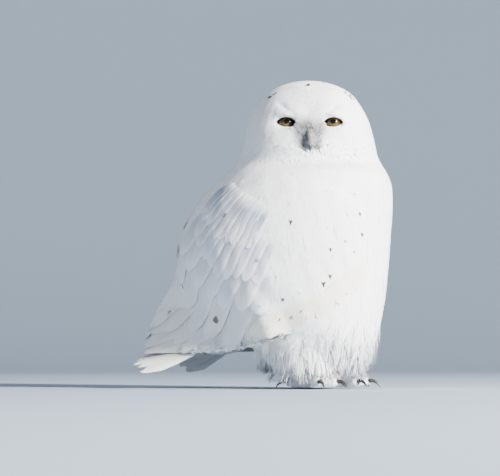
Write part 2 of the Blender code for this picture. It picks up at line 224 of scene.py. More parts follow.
# %% A board to place nodes on
class Board:
    """A new material with its Principled shader, and one way to add every other node."""

    def __init__(self, name, roughness=0.5, **constants):
        self.material = bpy.data.materials.new(name)
        self.material.use_nodes = True
        self.tree = self.material.node_tree
        self.shader = self.tree.nodes["Principled BSDF"]
        self.shader.inputs["Roughness"].default_value = roughness
        for key, value in constants.items():
            self.shader.inputs[key.replace("_", " ")].default_value = value

    def node(self, kind, settings, *values, out=0):
        made = self.tree.nodes.new(kind)
        for key, value in settings.items():
            setattr(made, key, value)
        sockets = [socket for socket in made.inputs if socket.enabled]
        for socket, value in zip(sockets, values):
            self.feed(socket, value)
        return Wire(self, made.outputs[out])

    def feed(self, socket, value):
        if isinstance(value, Wire):
            self.tree.links.new(value.socket, socket)
        elif value is not None:
            socket.default_value = value

    def set(self, **inputs):
        for key, value in inputs.items():
            self.feed(self.shader.inputs[key.replace("_", " ")], value)
        return self.material

    def place(self):
        return self.node("ShaderNodeTexCoord", {}, out=3)

    def attribute(self, name, out=2):
        return self.node("ShaderNodeAttribute", {"attribute_name": name}, out=out)

    def split(self, vector):
        made = self.tree.nodes.new("ShaderNodeSeparateXYZ")
        self.feed(made.inputs[0], vector)
        return [Wire(self, socket) for socket in made.outputs]

    def noise(self, vector, scale, detail=2.0):
        return self.node("ShaderNodeTexNoise", {}, vector, scale, detail)

    def mix(self, share, first, second):
        made = self.tree.nodes.new("ShaderNodeMix")
        made.data_type = "RGBA"
        for index, value in ((0, share), (6, first), (7, second)):
            self.feed(made.inputs[index], value)
        return Wire(self, made.outputs[2])

    def bump(self, height, strength, distance):
        return self.node("ShaderNodeBump", {}, strength, distance, None, height)


# %% [markdown]
# ## The coat's colour
#
# An old male snowy owl is almost pure white. The white isn't one flat colour: the base of each
# feather is a cooler grey down, the outer part is clean, and the stiff flight feathers carry a
# trace of cream. Each feather has its own small map, called vane, that runs across it and from
# root to tip, so barbs can be drawn as fine slanted ridges. Large feathers have a pale rim round
# a greyer middle, which sets each one off from the next; that grey is painted shade, as under
# the overlap of the next feather.
#
# Two numbers are written on the feathers. Tint above zero stains them, with cream on the wings
# and grey at the bill, which is partly the bristles' own dark and partly painted shade. Below
# zero it paints blue-grey shade into the middle of large feathers. Fleck says how dark a mark is.
# Small feathers draw it as a ragged dot near the tip, and large ones where the number itself is
# high.

# %% Plumage materials
SNOW = (0.90, 0.90, 0.895, 1)
DOWN_GREY = (0.80, 0.81, 0.83, 1)
# The next grey is painted shade, for the middles of large feathers under the next one's overlap.
OVERLAP_SHADE_GREY = (0.71, 0.72, 0.74, 1)
CREAM = (0.88, 0.84, 0.70, 1)
FLECK_BROWN = (0.055, 0.030, 0.018, 1)
# The next is the dark of the bill's grey wedge: the bristles' own colour and painted shade.
BRISTLE_DARK_AND_SHADE = (0.05, 0.05, 0.052, 1)
# The next blue-grey is painted shade, for the middles of the upper wing rows.
PAINTED_SHADE_BLUE = (0.27, 0.32, 0.43, 1)


def plumage(
    name, barbs, ridge, base=DOWN_GREY, stain=CREAM, stained=0.45, dot=None, rim=0.0
):
    """Slanted barbs and their depth, the root's colour, a stain, a mark's size, a pale rim.
    With a rim, the middle is painted with shade.
    """
    board = Board(name, roughness=0.78)
    across, along, _ = board.split(board.attribute("vane", out=1))
    side = (across - 0.5).math("ABSOLUTE") * 2
    clean = along.between(0.05, 0.6) * 0.85 + 0.15
    tint = board.attribute("tint")
    # A large feather's middle is painted greyer than its rim and root, as shade under the overlap.
    if rim:
        margin = side.between(0.55, 0.92).math("MAXIMUM", along.between(0.80, 0.97))
        outer, root = along.between(0.35, 0.95) * (1 - rim), 1 - along.between(0.10, 0.36)
        clean = outer.math("MAXIMUM", root)
        clean = clean + margin * (1 - clean)
        # A tint below zero paints that shade blue-grey.
        base = board.mix((tint * -1).between(0.0, 1.0), base, PAINTED_SHADE_BLUE)
    white = board.mix(clean, base, SNOW)
    white = board.mix(tint.between(0.0, 1.0) * stained, white, stain)
    fleck = board.attribute("fleck")
    ragged = board.noise(board.place(), 600.0)
    if dot:
        lengthwise, crosswise = (along - 0.88) / dot[0], side / dot[1]
        reach = (lengthwise * lengthwise + crosswise * crosswise).math("SQRT") + ragged * 0.9
        mark = (fleck * 2.2 - 0.3 - reach).between(0.0, 0.45)
    else:
        mark = (fleck + ragged * 0.7 - 0.75).between(0.0, 0.4) * 0.85
    colour = board.mix(mark, white, FLECK_BROWN)
    slant = along * barbs - side * barbs * 0.35
    ridges = (slant * math.tau).math("SINE") * 0.5 + 0.5
    shaft = (1 - side * 14).math("MAXIMUM", 0.0)
    normal = board.bump(ridges + shaft * 2, ridge, 0.0004)
    return board.set(Base_Color=colour, Normal=normal)


DOT = (0.15, 0.70)
contour_white = plumage("contour_feathers", 26, 0.2, dot=DOT)
flight_white = plumage("flight_feathers", 90, 0.28, base=OVERLAP_SHADE_GREY, stained=0.8, rim=0.3)
# Bristles and face feathers round the bill are stained towards that dark, which is partly painted
# shade.
bristle_and_shade_grey = plumage("bill_bristles_and_shade", 6, 0.1, stain=BRISTLE_DARK_AND_SHADE, stained=0.95, dot=DOT)

board = Board("skin_down", roughness=0.9)
fluff = board.noise(board.place(), 900.0, 3.0)
skin_colour = board.mix(fluff, DOWN_GREY, SNOW)
skin_colour = board.mix(board.attribute("fleck"), skin_colour, FLECK_BROWN)
skin_white = board.set(Base_Color=skin_colour, Normal=board.bump(fluff, 0.6, 0.001))
print("plumage:", [m.name for m in (contour_white, flight_white, skin_white)])


# %% [markdown]
# ## The skin under the feathers
#
# The soft solids are separate pieces that meet at cuts. A voxel remesh melts copies of them into
# one closed surface, and smoothing heals the cuts. That surface is the envelope: where the tips
# of the feathers end. The skin is the same shape drawn inwards by the depth of the coat, which is
# thick on the body and thin on the face and toes.

# %% One envelope from all the soft solids
VOXEL = 0.0024
BODY_NODES = ("head", "neck", "trunk", "leg_right", "leg_left", "foot_right", "foot_left")
WING_NODES = ("wing_right", "wing_left")
envelope = copy_of("envelope", *BODY_NODES, *WING_NODES, "eye_right", "eye_left")
modify(envelope, "REMESH", mode="VOXEL", voxel_size=VOXEL)
modify(envelope, "SMOOTH", factor=0.5, iterations=8)
heights = places_of(envelope)[:, 2]
band = ramp(heights, 0.272, 0.290) * (1 - ramp(heights, 0.318, 0.336))
neck = envelope.vertex_groups.new(name="neck")
for number in np.flatnonzero(band).tolist():
    neck.add([number], band[number], "REPLACE")
modify(envelope, "SMOOTH", factor=0.5, iterations=60, vertex_group="neck")
print("envelope:", len(envelope.data.polygons), "faces")


# %% [markdown]
# Two forms of the face are made by the plumage alone, so they are pressed into the envelope and
# not into the solids: the furrow over the inner half of each eye, which gives the bird its stern
# look, and the soft rolls of white feathers that rise on both sides of the bill's tip.


# %% Press the brow furrows and the rolls beside the bill
ROLL_ACROSS = (0.0, 0.006, 0.012, 0.025, 0.038, 0.0515, 0.062, 0.075)
ROLL_TOP = (-0.0440, -0.0398, -0.0358, -0.0318, -0.0318, -0.0358, -0.0396, -0.0450)
FURROW = ((0.0215, 0.0090), (0.0385, 0.0250))


def face_relief(places):
    """How far the plumage stands out from the plain head at these places."""
    beside, up, ahead = from_head(places)
    beside, front = np.abs(beside), ramp(ahead, 0.035, 0.055)
    (a0, z0), (a1, z1) = FURROW
    wide, high = a1 - a0, z1 - z0
    along = np.clip(((beside - a0) * wide + (up - z0) * high) / (wide**2 + high**2), 0, 1)
    off = np.hypot(beside - a0 - along * wide, up - z0 - along * high)
    furrow = -0.0020 * np.exp(-((off / 0.0036) ** 2))
    over = up - np.interp(beside, ROLL_ACROSS, ROLL_TOP)
    roll = np.where(over < 0, 0.0028 * np.exp(over / 0.014), -0.0016 * np.exp(-over / 0.008))
    roll = roll * (1 - 0.8 * ramp(beside, 0.024, 0.056))
    brow = 0.0026 * np.exp(-(((up - 0.0105) / 0.0034) ** 2) - ((beside - 0.031) / 0.012) ** 2)
    return front * (furrow + roll + brow)


places = places_of(envelope)
relief = face_relief(places)
move_vertices(envelope, places + normals_of(envelope) * relief[:, None])
modify(envelope, "SMOOTH", factor=0.4, iterations=1)
print("relief, mm:", round(relief.min() * 1000, 1), "to", round(relief.max() * 1000, 1))


# %% [markdown]
# Feathers are laid on the envelope, so one question comes up again and again: which point of it
# is nearest to a place, and which way does it face there? The facing is averaged over the
# corners of each face, which hides the small steps that the voxels leave.


# %% A surface that feathers can be laid on
class Surface:
    """Answers where the nearest point of a mesh is and which way it faces there."""

    def __init__(self, obj):
        self.tree = tree_of(obj)
        corners = np.array([tuple(face.vertices) for face in obj.data.polygons])
        self.normals = [Vector(row) for row in unit(normals_of(obj)[corners].sum(axis=1))]

    def at(self, place):
        point, _, face, _ = self.tree.find_nearest(place)
        return point, self.normals[face]

    def seen_from_side(self, place, side):
        """Where a line across the bird at this y and z first meets the surface from one side."""
        start = Vector((side * 0.5, place.y, place.z))
        point, _, face, _ = self.tree.ray_cast(start, Vector((-side, 0, 0)))
        return (point, self.normals[face]) if point else self.at(place)


hull = Surface(envelope)
print("the nearest point to the chest:", [round(v, 3) for v in hull.at(Vector((0, -0.2, 0.2)))[0]])


# %% [markdown]
# Feathers don't follow a crease to its bottom, they bridge it. A sheet is a grid of heights seen
# from one side. It is closed over gaps by spreading the highest heights and drawing them back by
# as much, and it is softened after that.


# %% A sheet that bridges gaps
class Sheet:
    """A soft sheet thrown over shapes from one side: it bridges gaps and fills creases."""

    def __init__(self, trees, corner, right, up, size, step, bridge, soften):
        self.corner, self.right, self.up, self.step = corner, right, up, step
        self.look = right.cross(up).normalized()
        columns, rows = (int(length / step) + 1 for length in size)
        heights = np.full((rows, columns), -0.02)
        for r in range(rows):
            for c in range(columns):
                start = corner + right * (c * step) + up * (r * step) + self.look * 0.3
                hits = [tree.ray_cast(start, -self.look)[3] for tree in trees]
                heights[r, c] = max([0.3 - hit for hit in hits if hit is not None] or [-0.02])
        closed = heights
        for _ in range(bridge):
            closed = self.around(closed).max(axis=0)
        for _ in range(bridge):
            closed = self.around(closed).min(axis=0)
        for _ in range(soften):
            closed = self.around(closed).mean(axis=0)
        self.heights = np.maximum(heights, closed)
        for _ in range(2):
            self.heights = self.around(self.heights).mean(axis=0)

    def around(self, grid):
        """The grid and its four neighbours at every place."""
        wide, mid = np.pad(grid, 1, mode="edge"), slice(1, -1)
        below, above, left, right = wide[:-2, mid], wide[2:, mid], wide[mid, :-2], wide[mid, 2:]
        return np.array([grid, below, above, left, right])

    def height(self, a, b):
        last = np.array(self.heights.shape) - 1.001
        row, column = np.clip(b / self.step, 0, last[0]), np.clip(a / self.step, 0, last[1])
        r, c = np.floor(row).astype(int), np.floor(column).astype(int)
        v, u, grid = row - r, column - c, self.heights
        return (grid[r, c] * (1 - u) + grid[r, c + 1] * u) * (1 - v) + (
            grid[r + 1, c] * (1 - u) + grid[r + 1, c + 1] * u
        ) * v

    def at(self, a, b):
        """Places and facings at these distances to the right of the corner and up from it."""
        a, b = np.asarray(a, float), np.asarray(b, float)
        right, up, look = np.array(self.right), np.array(self.up), np.array(self.look)
        height, step = self.height(a, b), self.step
        place = np.array(self.corner) + a[..., None] * right + b[..., None] * up
        slope_a = (self.height(a + step, b) - self.height(a - step, b)) / (2 * step)
        slope_b = (self.height(a, b + step) - self.height(a, b - step)) / (2 * step)
        facing = look - slope_a[..., None] * right - slope_b[..., None] * up
        return place + height[..., None] * look, unit(facing)


# %% [markdown]
# The depth of the coat is a rule: thick on the body, thinner on the head and the face, thinnest
# on the toes. The skin is a copy of the envelope, moved inwards by that depth. Where the shape is
# thin, as at the edge of a wing, it moves only part of the way, or the two sides would cross.


# %% Draw the skin inwards by the depth of the coat
def coat_depth(places):
    """How far inside the envelope the skin lies at these places, in metres."""
    on_head = ramp(places[:, 2], NECK_Z - 0.005, NECK_Z + 0.03)
    on_face = on_head * ramp(from_head(places)[2], 0.015, 0.055)
    depth = 0.0034 - 0.0011 * on_head - 0.0011 * on_face
    on_foot = 1 - ramp(places[:, 2], 0.018, 0.036)
    return depth * (1 - on_foot) + 0.0014 * on_foot


def wall_thickness(obj, tree, limit=0.03):
    """How thick the shape is behind each vertex, up to a limit."""
    thick = np.full(len(obj.data.vertices), limit)
    for i, vertex in enumerate(obj.data.vertices):
        inwards = -vertex.normal
        hit, _, _, distance = tree.ray_cast(vertex.co + inwards * 1e-4, inwards, limit)
        if hit:
            thick[i] = distance
    return thick


def behind_eyes(places):
    """Skin in front of the eyeballs is pushed back behind them."""
    on_right = (places @ A < np.array(HEAD_MIDDLE) @ A)[:, None]
    gap = places - np.where(on_right, np.array(EYES["right"]), np.array(EYES["left"]))
    inside = (gap @ A / 0.0135) ** 2 + (gap[:, 2] / 0.0078) ** 2 < 1
    inside &= gap @ F > 0
    return places - F * (inside * 0.018)[:, None]


pick(envelope)
bpy.ops.object.duplicate()
skin = bpy.context.object
skin.name = skin.data.name = "skin"
places = places_of(skin)
depth = np.minimum(coat_depth(places), wall_thickness(skin, hull.tree) * 0.42)
places -= normals_of(skin) * depth[:, None]
places[:, 2] = np.maximum(places[:, 2], 0.0002)
move_vertices(skin, places)
modify(skin, "SMOOTH", factor=0.5, iterations=3)
move_vertices(skin, behind_eyes(places_of(skin)))
skin.data.materials.append(skin_white)
print("skin depth, mm:", round(depth.min() * 1000, 2), "to", round(depth.max() * 1000, 2))


# %% [markdown]
# The skin is cut open into flat patches, and each small feather is given the spot of that map
# where it grows. The map is named OFBake, and it is made by angle: neighbouring faces that look
# the same way stay together. A feather gets one tiny square of it.

# %% Unwrap the skin by angle
skin.data.uv_layers.new(name="OFBake")
pick(skin)
bpy.ops.object.mode_set(mode="EDIT")
bpy.ops.mesh.select_all(action="SELECT")
bpy.ops.uv.smart_project(angle_limit=1.15, island_margin=0.002)
bpy.ops.object.mode_set(mode="OBJECT")
loop_uv = np.empty(len(skin.data.loops) * 2)
skin.data.uv_layers["OFBake"].uv.foreach_get("vector", loop_uv)
starts = np.empty(len(skin.data.polygons), int)
skin.data.polygons.foreach_get("loop_start", starts)
loop_uv = loop_uv.reshape(-1, 2)
face_uv = (loop_uv[starts] + loop_uv[starts + 2]) / 2
skin_tree = tree_of(skin)
PATCH = 0.003


def patches_at(roots):
    """A small square of the skin's map for each feather, round the spot where it grows."""
    spots = np.array([face_uv[skin_tree.find_nearest(root)[2]] for root in roots.tolist()])
    return np.concatenate([spots - PATCH / 2, np.full((len(roots), 2), PATCH)], axis=1)


print("the skin's map has", len(face_uv), "face centres")


# %% [markdown]
# ## Feathers from arrays
#
# Ten thousand feathers can't be modelled one by one, and hair particles don't survive in a
# finished model. So a feather is a small grid, a few rows from root to tip and a few columns
# across, and whole groups are worked out together as arrays of numbers. Its normals are turned
# part of the way to the bird's own, because light goes softly through a coat of real feathers.


# %% A mesh from arrays
dice = np.random.default_rng(7)


def grid_faces(rows, columns):
    """The corner numbers of each face of one feather."""
    r, c = np.mgrid[0 : rows - 1, 0 : columns - 1]
    first = (r * columns + c).ravel()
    return np.stack([first, first + 1, first + columns + 1, first + columns], axis=1)


def mesh_of(name, places, quads, maps, numbers):
    """A smooth mesh with its maps, given per vertex, and its numbers."""
    mesh = bpy.data.meshes.new(name)
    mesh.vertices.add(len(places))
    mesh.vertices.foreach_set("co", places.ravel())
    mesh.loops.add(quads.size)
    mesh.loops.foreach_set("vertex_index", quads.ravel())
    mesh.polygons.add(len(quads))
    mesh.polygons.foreach_set("loop_start", np.arange(0, quads.size, 4))
    mesh.polygons.foreach_set("use_smooth", np.ones(len(quads), bool))
    mesh.update(calc_edges=True)
    for label, values in maps.items():
        mesh.uv_layers.new(name=label).uv.foreach_set("vector", values[quads.ravel()].ravel())
    for label, values in numbers.items():
        mesh.attributes.new(label, "FLOAT", "POINT").data.foreach_set("value", values)
    return mesh


# %% [markdown]
# Feathers are gathered group by group, and then made into pieces. A piece is kept under 95,000
# faces, so that none is too heavy to handle on its own.


# %% Gather feathers and make pieces of them
class Plumes:
    """Gathers feathers of any grid size, and makes pieces of them."""

    def __init__(self, name, material, softness=0.7):
        self.name, self.material, self.softness = name, material, softness
        self.batches = []

    def add(self, points, bake, tint, fleck, facing):
        """Points and facing are feathers x rows x columns x 3, bake is one map patch each."""
        self.batches.append((points, bake, tint, fleck, facing))

    def pieces(self, most_faces=95000):
        made, group, faces = [], [], 0
        for parts in self.batches:
            count, rows, columns, _ = parts[0].shape
            each = (rows - 1) * (columns - 1)
            start = 0
            while start < count:
                room = max(1, (most_faces - faces) // each)
                end = min(count, start + room)
                group.append([part[start:end] for part in parts])
                faces += (end - start) * each
                start = end
                if faces + each > most_faces:
                    made.append(self.piece(group, len(made) + 1))
                    group, faces = [], 0
        if group:
            made.append(self.piece(group, len(made) + 1))
        return made

    def piece(self, group, number):
        places, quads, vane, bakes, tints, flecks, aims, offset = [], [], [], [], [], [], [], 0
        for points, bake, tint, fleck, facing in group:
            count, rows, columns, _ = points.shape
            starts = offset + np.arange(count) * rows * columns
            quads.append((starts[:, None, None] + grid_faces(rows, columns)[None]).reshape(-1, 4))
            offset += count * rows * columns
            places.append(points.reshape(-1, 3))
            aims.append(facing.reshape(-1, 3))
            v, u = np.mgrid[0 : 1 : rows * 1j, 0 : 1 : columns * 1j]
            flat = np.stack([u, v], axis=-1).reshape(1, -1, 2).repeat(count, axis=0)
            vane.append(flat.reshape(-1, 2))
            bakes.append((bake[:, None, :2] + flat * bake[:, None, 2:]).reshape(-1, 2))
            for kept, given in ((tints, tint), (flecks, fleck)):
                each = np.asarray(given, float).reshape(count, -1)
                kept.append(np.broadcast_to(each, (count, rows * columns)).ravel())
        join = np.concatenate
        maps = {"OFBake": join(bakes), "vane": join(vane)}
        numbers = {"tint": join(tints), "fleck": join(flecks)}
        name = f"{self.name}_{number:02d}"
        mesh = mesh_of(name, join(places), join(quads), maps, numbers)
        mesh.materials.append(self.material)
        made = bpy.data.objects.new(name, mesh)
        bpy.context.collection.objects.link(made)
        soft = normals_of(made) * (1 - self.softness) + join(aims) * self.softness
        mesh.normals_split_custom_set_from_vertices(unit(soft).tolist())
        print(name, len(mesh.polygons) * 2, "triangles")
        return made


# %% [markdown]
# Three things shape the grid of a feather: its width along the way, the rounding of its tip, and
# small notches at the tip where the barbs part.


# %% Bend a grid along a line on the surface
def vanes(lines, normals, columns, wide, lift, rounding, notch, cup, root=0.45):
    """Grids along centre lines (feathers x rows x 3), which are this wide to each side."""
    count, rows, _ = lines.shape
    across = np.linspace(-1, 1, columns)
    along = np.linspace(0, 1, rows)
    reach = along[:, None] - rounding * across[None] ** 2 * along[:, None] ** 3
    reach = np.repeat(reach[None], count, axis=0)
    parted = dice.random((count, columns)) * notch * (1 + 0.8 * (np.arange(columns) % 2))
    reach[:, -1] -= parted
    reach[:, -2] -= parted * 0.25
    at = np.clip(reach, 0, 1) * (rows - 1)
    low = np.minimum(at.astype(int), rows - 2)
    share = (at - low)[..., None]
    which = np.arange(count)[:, None, None]
    centre = lines[which, low] * (1 - share) + lines[which, low + 1] * share
    facing = unit(normals[which, low] * (1 - share) + normals[which, low + 1] * share)
    ahead = unit(np.gradient(lines, axis=1))[which, low]
    sideways = unit(np.cross(ahead, facing))
    bulge = np.sin(np.clip(along * 0.82 + 0.08, 0, 1) ** 0.8 * math.pi) ** 0.5
    profile = np.maximum(bulge, root * (1 - along)) * (1 - 0.25 * along**6)
    spread = across[None, None, :] * profile[None, :, None] * wide[:, None, None]
    rise = lift[:, :, None] - cup * wide[:, None, None] * across[None, None] ** 2
    return centre + sideways * spread[..., None] + facing * rise[..., None], facing


# %% [markdown]
# ## The lie of the coat
#
# A bird's coat has a direction everywhere. On the face the feathers radiate away from the eyes
# and make the disc that gathers sound. On the crown they run back, on the breast they fall, and
# on the back and the sides they stream towards the tail. One function gives that direction for
# any place, and each feather grows along it in short steps that are pulled back to the surface.


# %% The direction of the feathers at any place
EYE_PLACES = np.array([EYES["right"], EYES["left"]])
BILL_ROOT = np.array(middle("bill")) * [1, 1, 0] + [0, 0, FACE_Z - 0.006]


def head_share(places):
    return ramp(places[:, 2], NECK_Z - 0.002, NECK_Z + 0.034)


def eye_distance(places):
    """The distance to the nearer eye's line of sight, the way there, and the way from both."""
    gaps = places[:, None] - EYE_PLACES[None]
    gaps = gaps - (gaps @ F)[..., None] * F
    length = np.linalg.norm(gaps, axis=2)
    nearest = length.argmin(axis=1)
    both = (gaps / length[..., None] ** 4).sum(axis=1)
    return length.min(axis=1), gaps[np.arange(len(places)), nearest], unit(both)


ANKLES = np.array([middle("leg_right"), middle("leg_left")])


def along_toes(places):
    """Away from the nearer ankle, over the floor."""
    gaps = (places[:, None] - ANKLES[None]) * [1, 1, 0]
    nearest = np.linalg.norm(gaps, axis=2).argmin(axis=1)
    return unit(gaps[np.arange(len(places)), nearest]) + np.array([0, 0, -0.35])


def flow(places, normals):
    """The way the feathers point at these places, along the surface."""
    y, z = places[:, 1], places[:, 2]
    behind = ramp(y, -0.11, 0.05)[:, None]
    body = np.array([0, 0, -1.0]) * (1 - 0.3 * behind) + np.array([0, 0.72, 0]) * behind
    sideways = places * [1, 0, 0]
    body = body + unit(sideways) * 0.05
    ahead = from_head(places)[2]
    weight = 0.15 + 0.75 * (1 - ramp(ahead, -0.01, 0.05))[:, None]
    crown = unit(places - BILL_ROOT) + np.array([0, 0, -1.0]) * weight
    away, _, apart = eye_distance(places)
    near = (1 - ramp(away, 0.026, 0.052)) * ramp(ahead, 0.02, 0.045)
    disc = apart + np.array([0, 0, -0.2])
    head = crown * (1 - near[:, None]) + disc * near[:, None]
    up_here = head_share(places)[:, None]
    way = body * (1 - up_here) + head * up_here
    on_toes = (1 - ramp(z, 0.022, 0.034))[:, None]
    way = way * (1 - on_toes) + along_toes(places) * on_toes
    way = way - (way * normals).sum(axis=1, keepdims=True) * normals
    return unit(way)


def lines_on(surface, roots, lengths, rows, wander=0.0):
    """Centre lines that start at the roots and follow the lie of the coat."""
    count = len(roots)
    lines, normals = np.empty((count, rows, 3)), np.empty((count, rows, 3))
    here = np.array(roots, float)
    turn = (dice.random(count) - 0.5) * 2 * wander
    for row in range(rows):
        found = [surface.at(place) for place in here.tolist()]
        here = np.array([point[:] for point, _ in found])
        facing = np.array([normal[:] for _, normal in found])
        lines[:, row], normals[:, row] = here, facing
        way = flow(here, facing)
        way = way * np.cos(turn)[:, None] + np.cross(facing, way) * np.sin(turn)[:, None]
        here = here + way * (lengths / (rows - 1))[:, None]
    return lines, normals


# %% [markdown]
# ## Where feathers grow
#
# Feathers stand at even gaps but never in a grid. Points are thrown at the surface in a random
# order that is the same each time, and a point is kept when no kept point is nearer than the gap
# for that place. The gap is under 2 mm on the face and toes, 2.5 mm on the head and 4.6 mm on the
# body. Kept points stand on shelves, one for each small cube of space, so that only the nearest
# ones are compared.


# %% Scatter roots with a gap that changes over the body
STEPS = (-1, 0, 1)
NEIGHBOURS = [(a, b, c) for a in STEPS for b in STEPS for c in STEPS]


def gap_at(places):
    """The distance between feathers at these places."""
    ahead = from_head(places)[2]
    away = eye_distance(places)[0]
    up_here = head_share(places)
    face = up_here * ramp(ahead, 0.03, 0.05) * (1 - ramp(away, 0.03, 0.06))
    gap = 0.0046 * (1 - up_here) + 0.0025 * up_here
    gap = gap * (1 - face) + 0.0016 * face
    low = 1 - ramp(places[:, 2], 0.03, 0.075)
    gap = gap * (1 - low) + 0.0036 * low
    foot = 1 - ramp(places[:, 2], 0.022, 0.034)
    return gap * (1 - foot) + 0.0019 * foot


def stands_free(shelves, key, place, limit):
    """Whether no kept point on this shelf and those round it is within the limit, squared."""
    (a, b, c), (x, y, z) = key, place
    for da, db, dc in NEIGHBOURS:
        for px, py, pz in shelves.get((a + da, b + db, c + dc), ()):
            if (px - x) ** 2 + (py - y) ** 2 + (pz - z) ** 2 < limit:
                return False
    return True


def scatter(obj, tries, gap_for):
    """Places on the object at least the gap apart, from this many tries."""
    quads = np.empty(len(obj.data.polygons) * 4, int)
    obj.data.polygons.foreach_get("vertices", quads)
    corners = places_of(obj)[quads.reshape(-1, 4)]
    areas = np.linalg.norm(
        np.cross(corners[:, 2] - corners[:, 0], corners[:, 3] - corners[:, 1]), axis=1
    )
    smallest = gap_for(corners.mean(axis=1))
    weight = areas / smallest**2
    chosen = dice.choice(len(areas), tries, p=weight / weight.sum())
    u, v = dice.random((2, tries, 1))
    c = corners[chosen]
    thrown = (c[:, 0] * (1 - u) + c[:, 1] * u) * (1 - v) + (c[:, 3] * (1 - u) + c[:, 2] * u) * v
    gaps = gap_for(thrown)
    cell = float(gaps.max())
    shelves, kept = {}, []
    keys = np.floor(thrown / cell).astype(int).tolist()
    limits = (gaps**2).tolist()
    for i, (key, place) in enumerate(zip(keys, thrown.tolist())):
        if stands_free(shelves, key, place, limits[i]):
            shelves.setdefault(tuple(key), []).append(place)
            kept.append(i)
    return thrown[kept]


# %% [markdown]
# The wings' big feathers are laid in rows later, so the small ones leave that part free. It is
# the field between the wing's lower edge and a line above it, given as heights at a few places
# from the breast to the tail. The eye openings stay free too, and so does the wedge over the
# bill, where bristles grow.

# %% Places where small feathers don't grow
WING_Y = (-0.165, -0.14, -0.12, -0.10, -0.06, -0.02, 0.03, 0.12, 0.19)
WING_EDGE = (0.150, 0.122, 0.104, 0.092, 0.074, 0.055, 0.049, 0.047, 0.046)
COVERT_LINE = (0.158, 0.146, 0.132, 0.122, 0.108, 0.128, 0.178, 0.235, 0.26)
EYE_WIDE, EYE_HIGH = 0.0122, 0.0062
wing_trees = [tree_of(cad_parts[node]) for node in WING_NODES]


def on_wing(places, within=0.0035):
    found = [any(t.find_nearest(p, within)[0] for t in wing_trees) for p in places.tolist()]
    return np.array(found)


def in_flight_field(places, normals):
    """In front the breast's feathers run in under the wing's edge, and behind they stop at it."""
    y, z = places[:, 1], places[:, 2]
    low, high = np.interp(y, WING_Y, WING_EDGE), np.interp(y, WING_Y, COVERT_LINE)
    outward = normals[:, 0] * np.sign(places[:, 0])
    under_edge = 0.012 * (1 - ramp(y, -0.06, -0.03))
    between = (z > low - 0.002 + under_edge) & (z < high) & (outward > 0.05)
    rim = (z < low + 0.020) & (y > -0.03) | (y > 0.09)
    return on_wing(places) & (between | rim)


def in_bristle_field(places):
    """The wedge between the eyes and the bill's tip, seen from the front."""
    beside, up, ahead = from_head(places)
    return (ahead > 0.03) & (up < 0.004) & (up > -0.038) & (np.abs(beside) < 0.014)


def in_eye_opening(places, grow):
    gap = eye_distance(places)[1]
    wide, high = EYE_WIDE + grow, EYE_HIGH + grow
    inside = ((gap @ A) / wide) ** 2 + (gap[:, 2] / high) ** 2 < 1
    return inside & (from_head(places)[2] > 0.02)


# %% [markdown]
# The roots are sorted with these tests. The ones in the wing's field aren't lost: away from its
# rim they grow a sunken underlay, so that no bare skin shows between the big feathers.

# %% Throw the roots and sort them
roots = scatter(envelope, 420000, gap_at)
facing = np.array([hull.at(place)[1][:] for place in roots.tolist()])
free = ~in_eye_opening(roots, 0.0006) & ~in_bristle_field(roots) & (roots[:, 2] > 0.003)
field = in_flight_field(roots, facing)
above_rim = roots[:, 2] > np.interp(roots[:, 1], WING_Y, WING_EDGE) + 0.008
sideways = np.abs(facing[:, 0]) > 0.3
under_wing_rows = roots[field & free & above_rim & sideways & (roots[:, 1] < 0.10)]
roots = roots[free & ~field]
print("small feathers:", len(roots), "and", len(under_wing_rows), "under the wing's rows")

# %% [markdown]
# The marks of an old male are few and small. Each is given by its place on the bird's right side,
# back to front and height, and the feather whose tip is nearest gets it. The left side has the
# same marks with small shifts, as the two sides of a bird are alike but never the same. The marks
# on the crown are given from the front, by how far they are to the left and how high.

# %% The dark marks: where they are in millimetres, and how dark, with 10 for a plain one
MARKS = (
    (-147, 257, 6), (-153, 230, 8), (-141, 227, 6), (-72, 218, 9), (19, 229, 10),
    (-152, 203, 9), (-139, 197, 7), (-130, 200, 4), (-120, 207, 4), (-121, 185, 9),
    (-118, 175, 6), (-96, 185, 4), (-145, 178, 7), (-26, 169, 8), (-68, 172, 4),
    (-48, 158, 4), (-50, 146, 6), (-136, 160, 5), (-121, 146, 10), (-109, 138, 10),
    (-80, 127, 6), (-61, 119, 8), (-26, 108, 7), (-11, 140, 5), (59, 140, 5),
    (108, 140, 12), (130, 103, 10), (47, 92, 20), (56, 71, 6),
)  # fmt: skip
HEAD_MARKS = (
    (-54, 393, 10), (-47, 397, 8), (0, 409, 8), (21, 413, 7), (50, 399, 8), (56, 394, 9)
)  # fmt: skip


def marked_places():
    """Where the marks lie in space, and how dark they are: both sides, and the crown."""
    found = []
    for number, (y, z, dark) in enumerate(MARKS):
        for side in (-1, 1):
            shift = (6 * math.sin(3 * number), 5 * math.cos(5 * number)) if side > 0 else (0, 0)
            spot = Vector((0, y + shift[0], z + shift[1])) / 1000
            found.append((*hull.seen_from_side(spot, side)[0], dark / 10))
    for a, z, dark in HEAD_MARKS:
        start = HEAD_MIDDLE + ACROSS * (a / 1000) + FACING * 0.3
        start.z = z / 1000
        hit = hull.tree.ray_cast(start, -FACING)[0]
        found.append((*(hit or hull.at(start)[0]), dark / 5))
    return np.array(found)


marks = marked_places()
print("dark marks:", len(marks))

# %% [markdown]
# The skin carries the same marks as the coat, a little fainter. Then each mark is given to the
# feather whose tip is nearest, or on the head, where feathers are small, to the nearest three.


# %% Mark the skin, and find the feathers that carry a mark
layer = skin.data.attributes.new("fleck", "FLOAT", "POINT")
nearest = np.linalg.norm(places_of(skin)[:, None] - marks[None, :, :3], axis=2).min(axis=1)
layer.data.foreach_set("value", np.clip(1 - nearest / 0.0075, 0, 1) * 0.5)


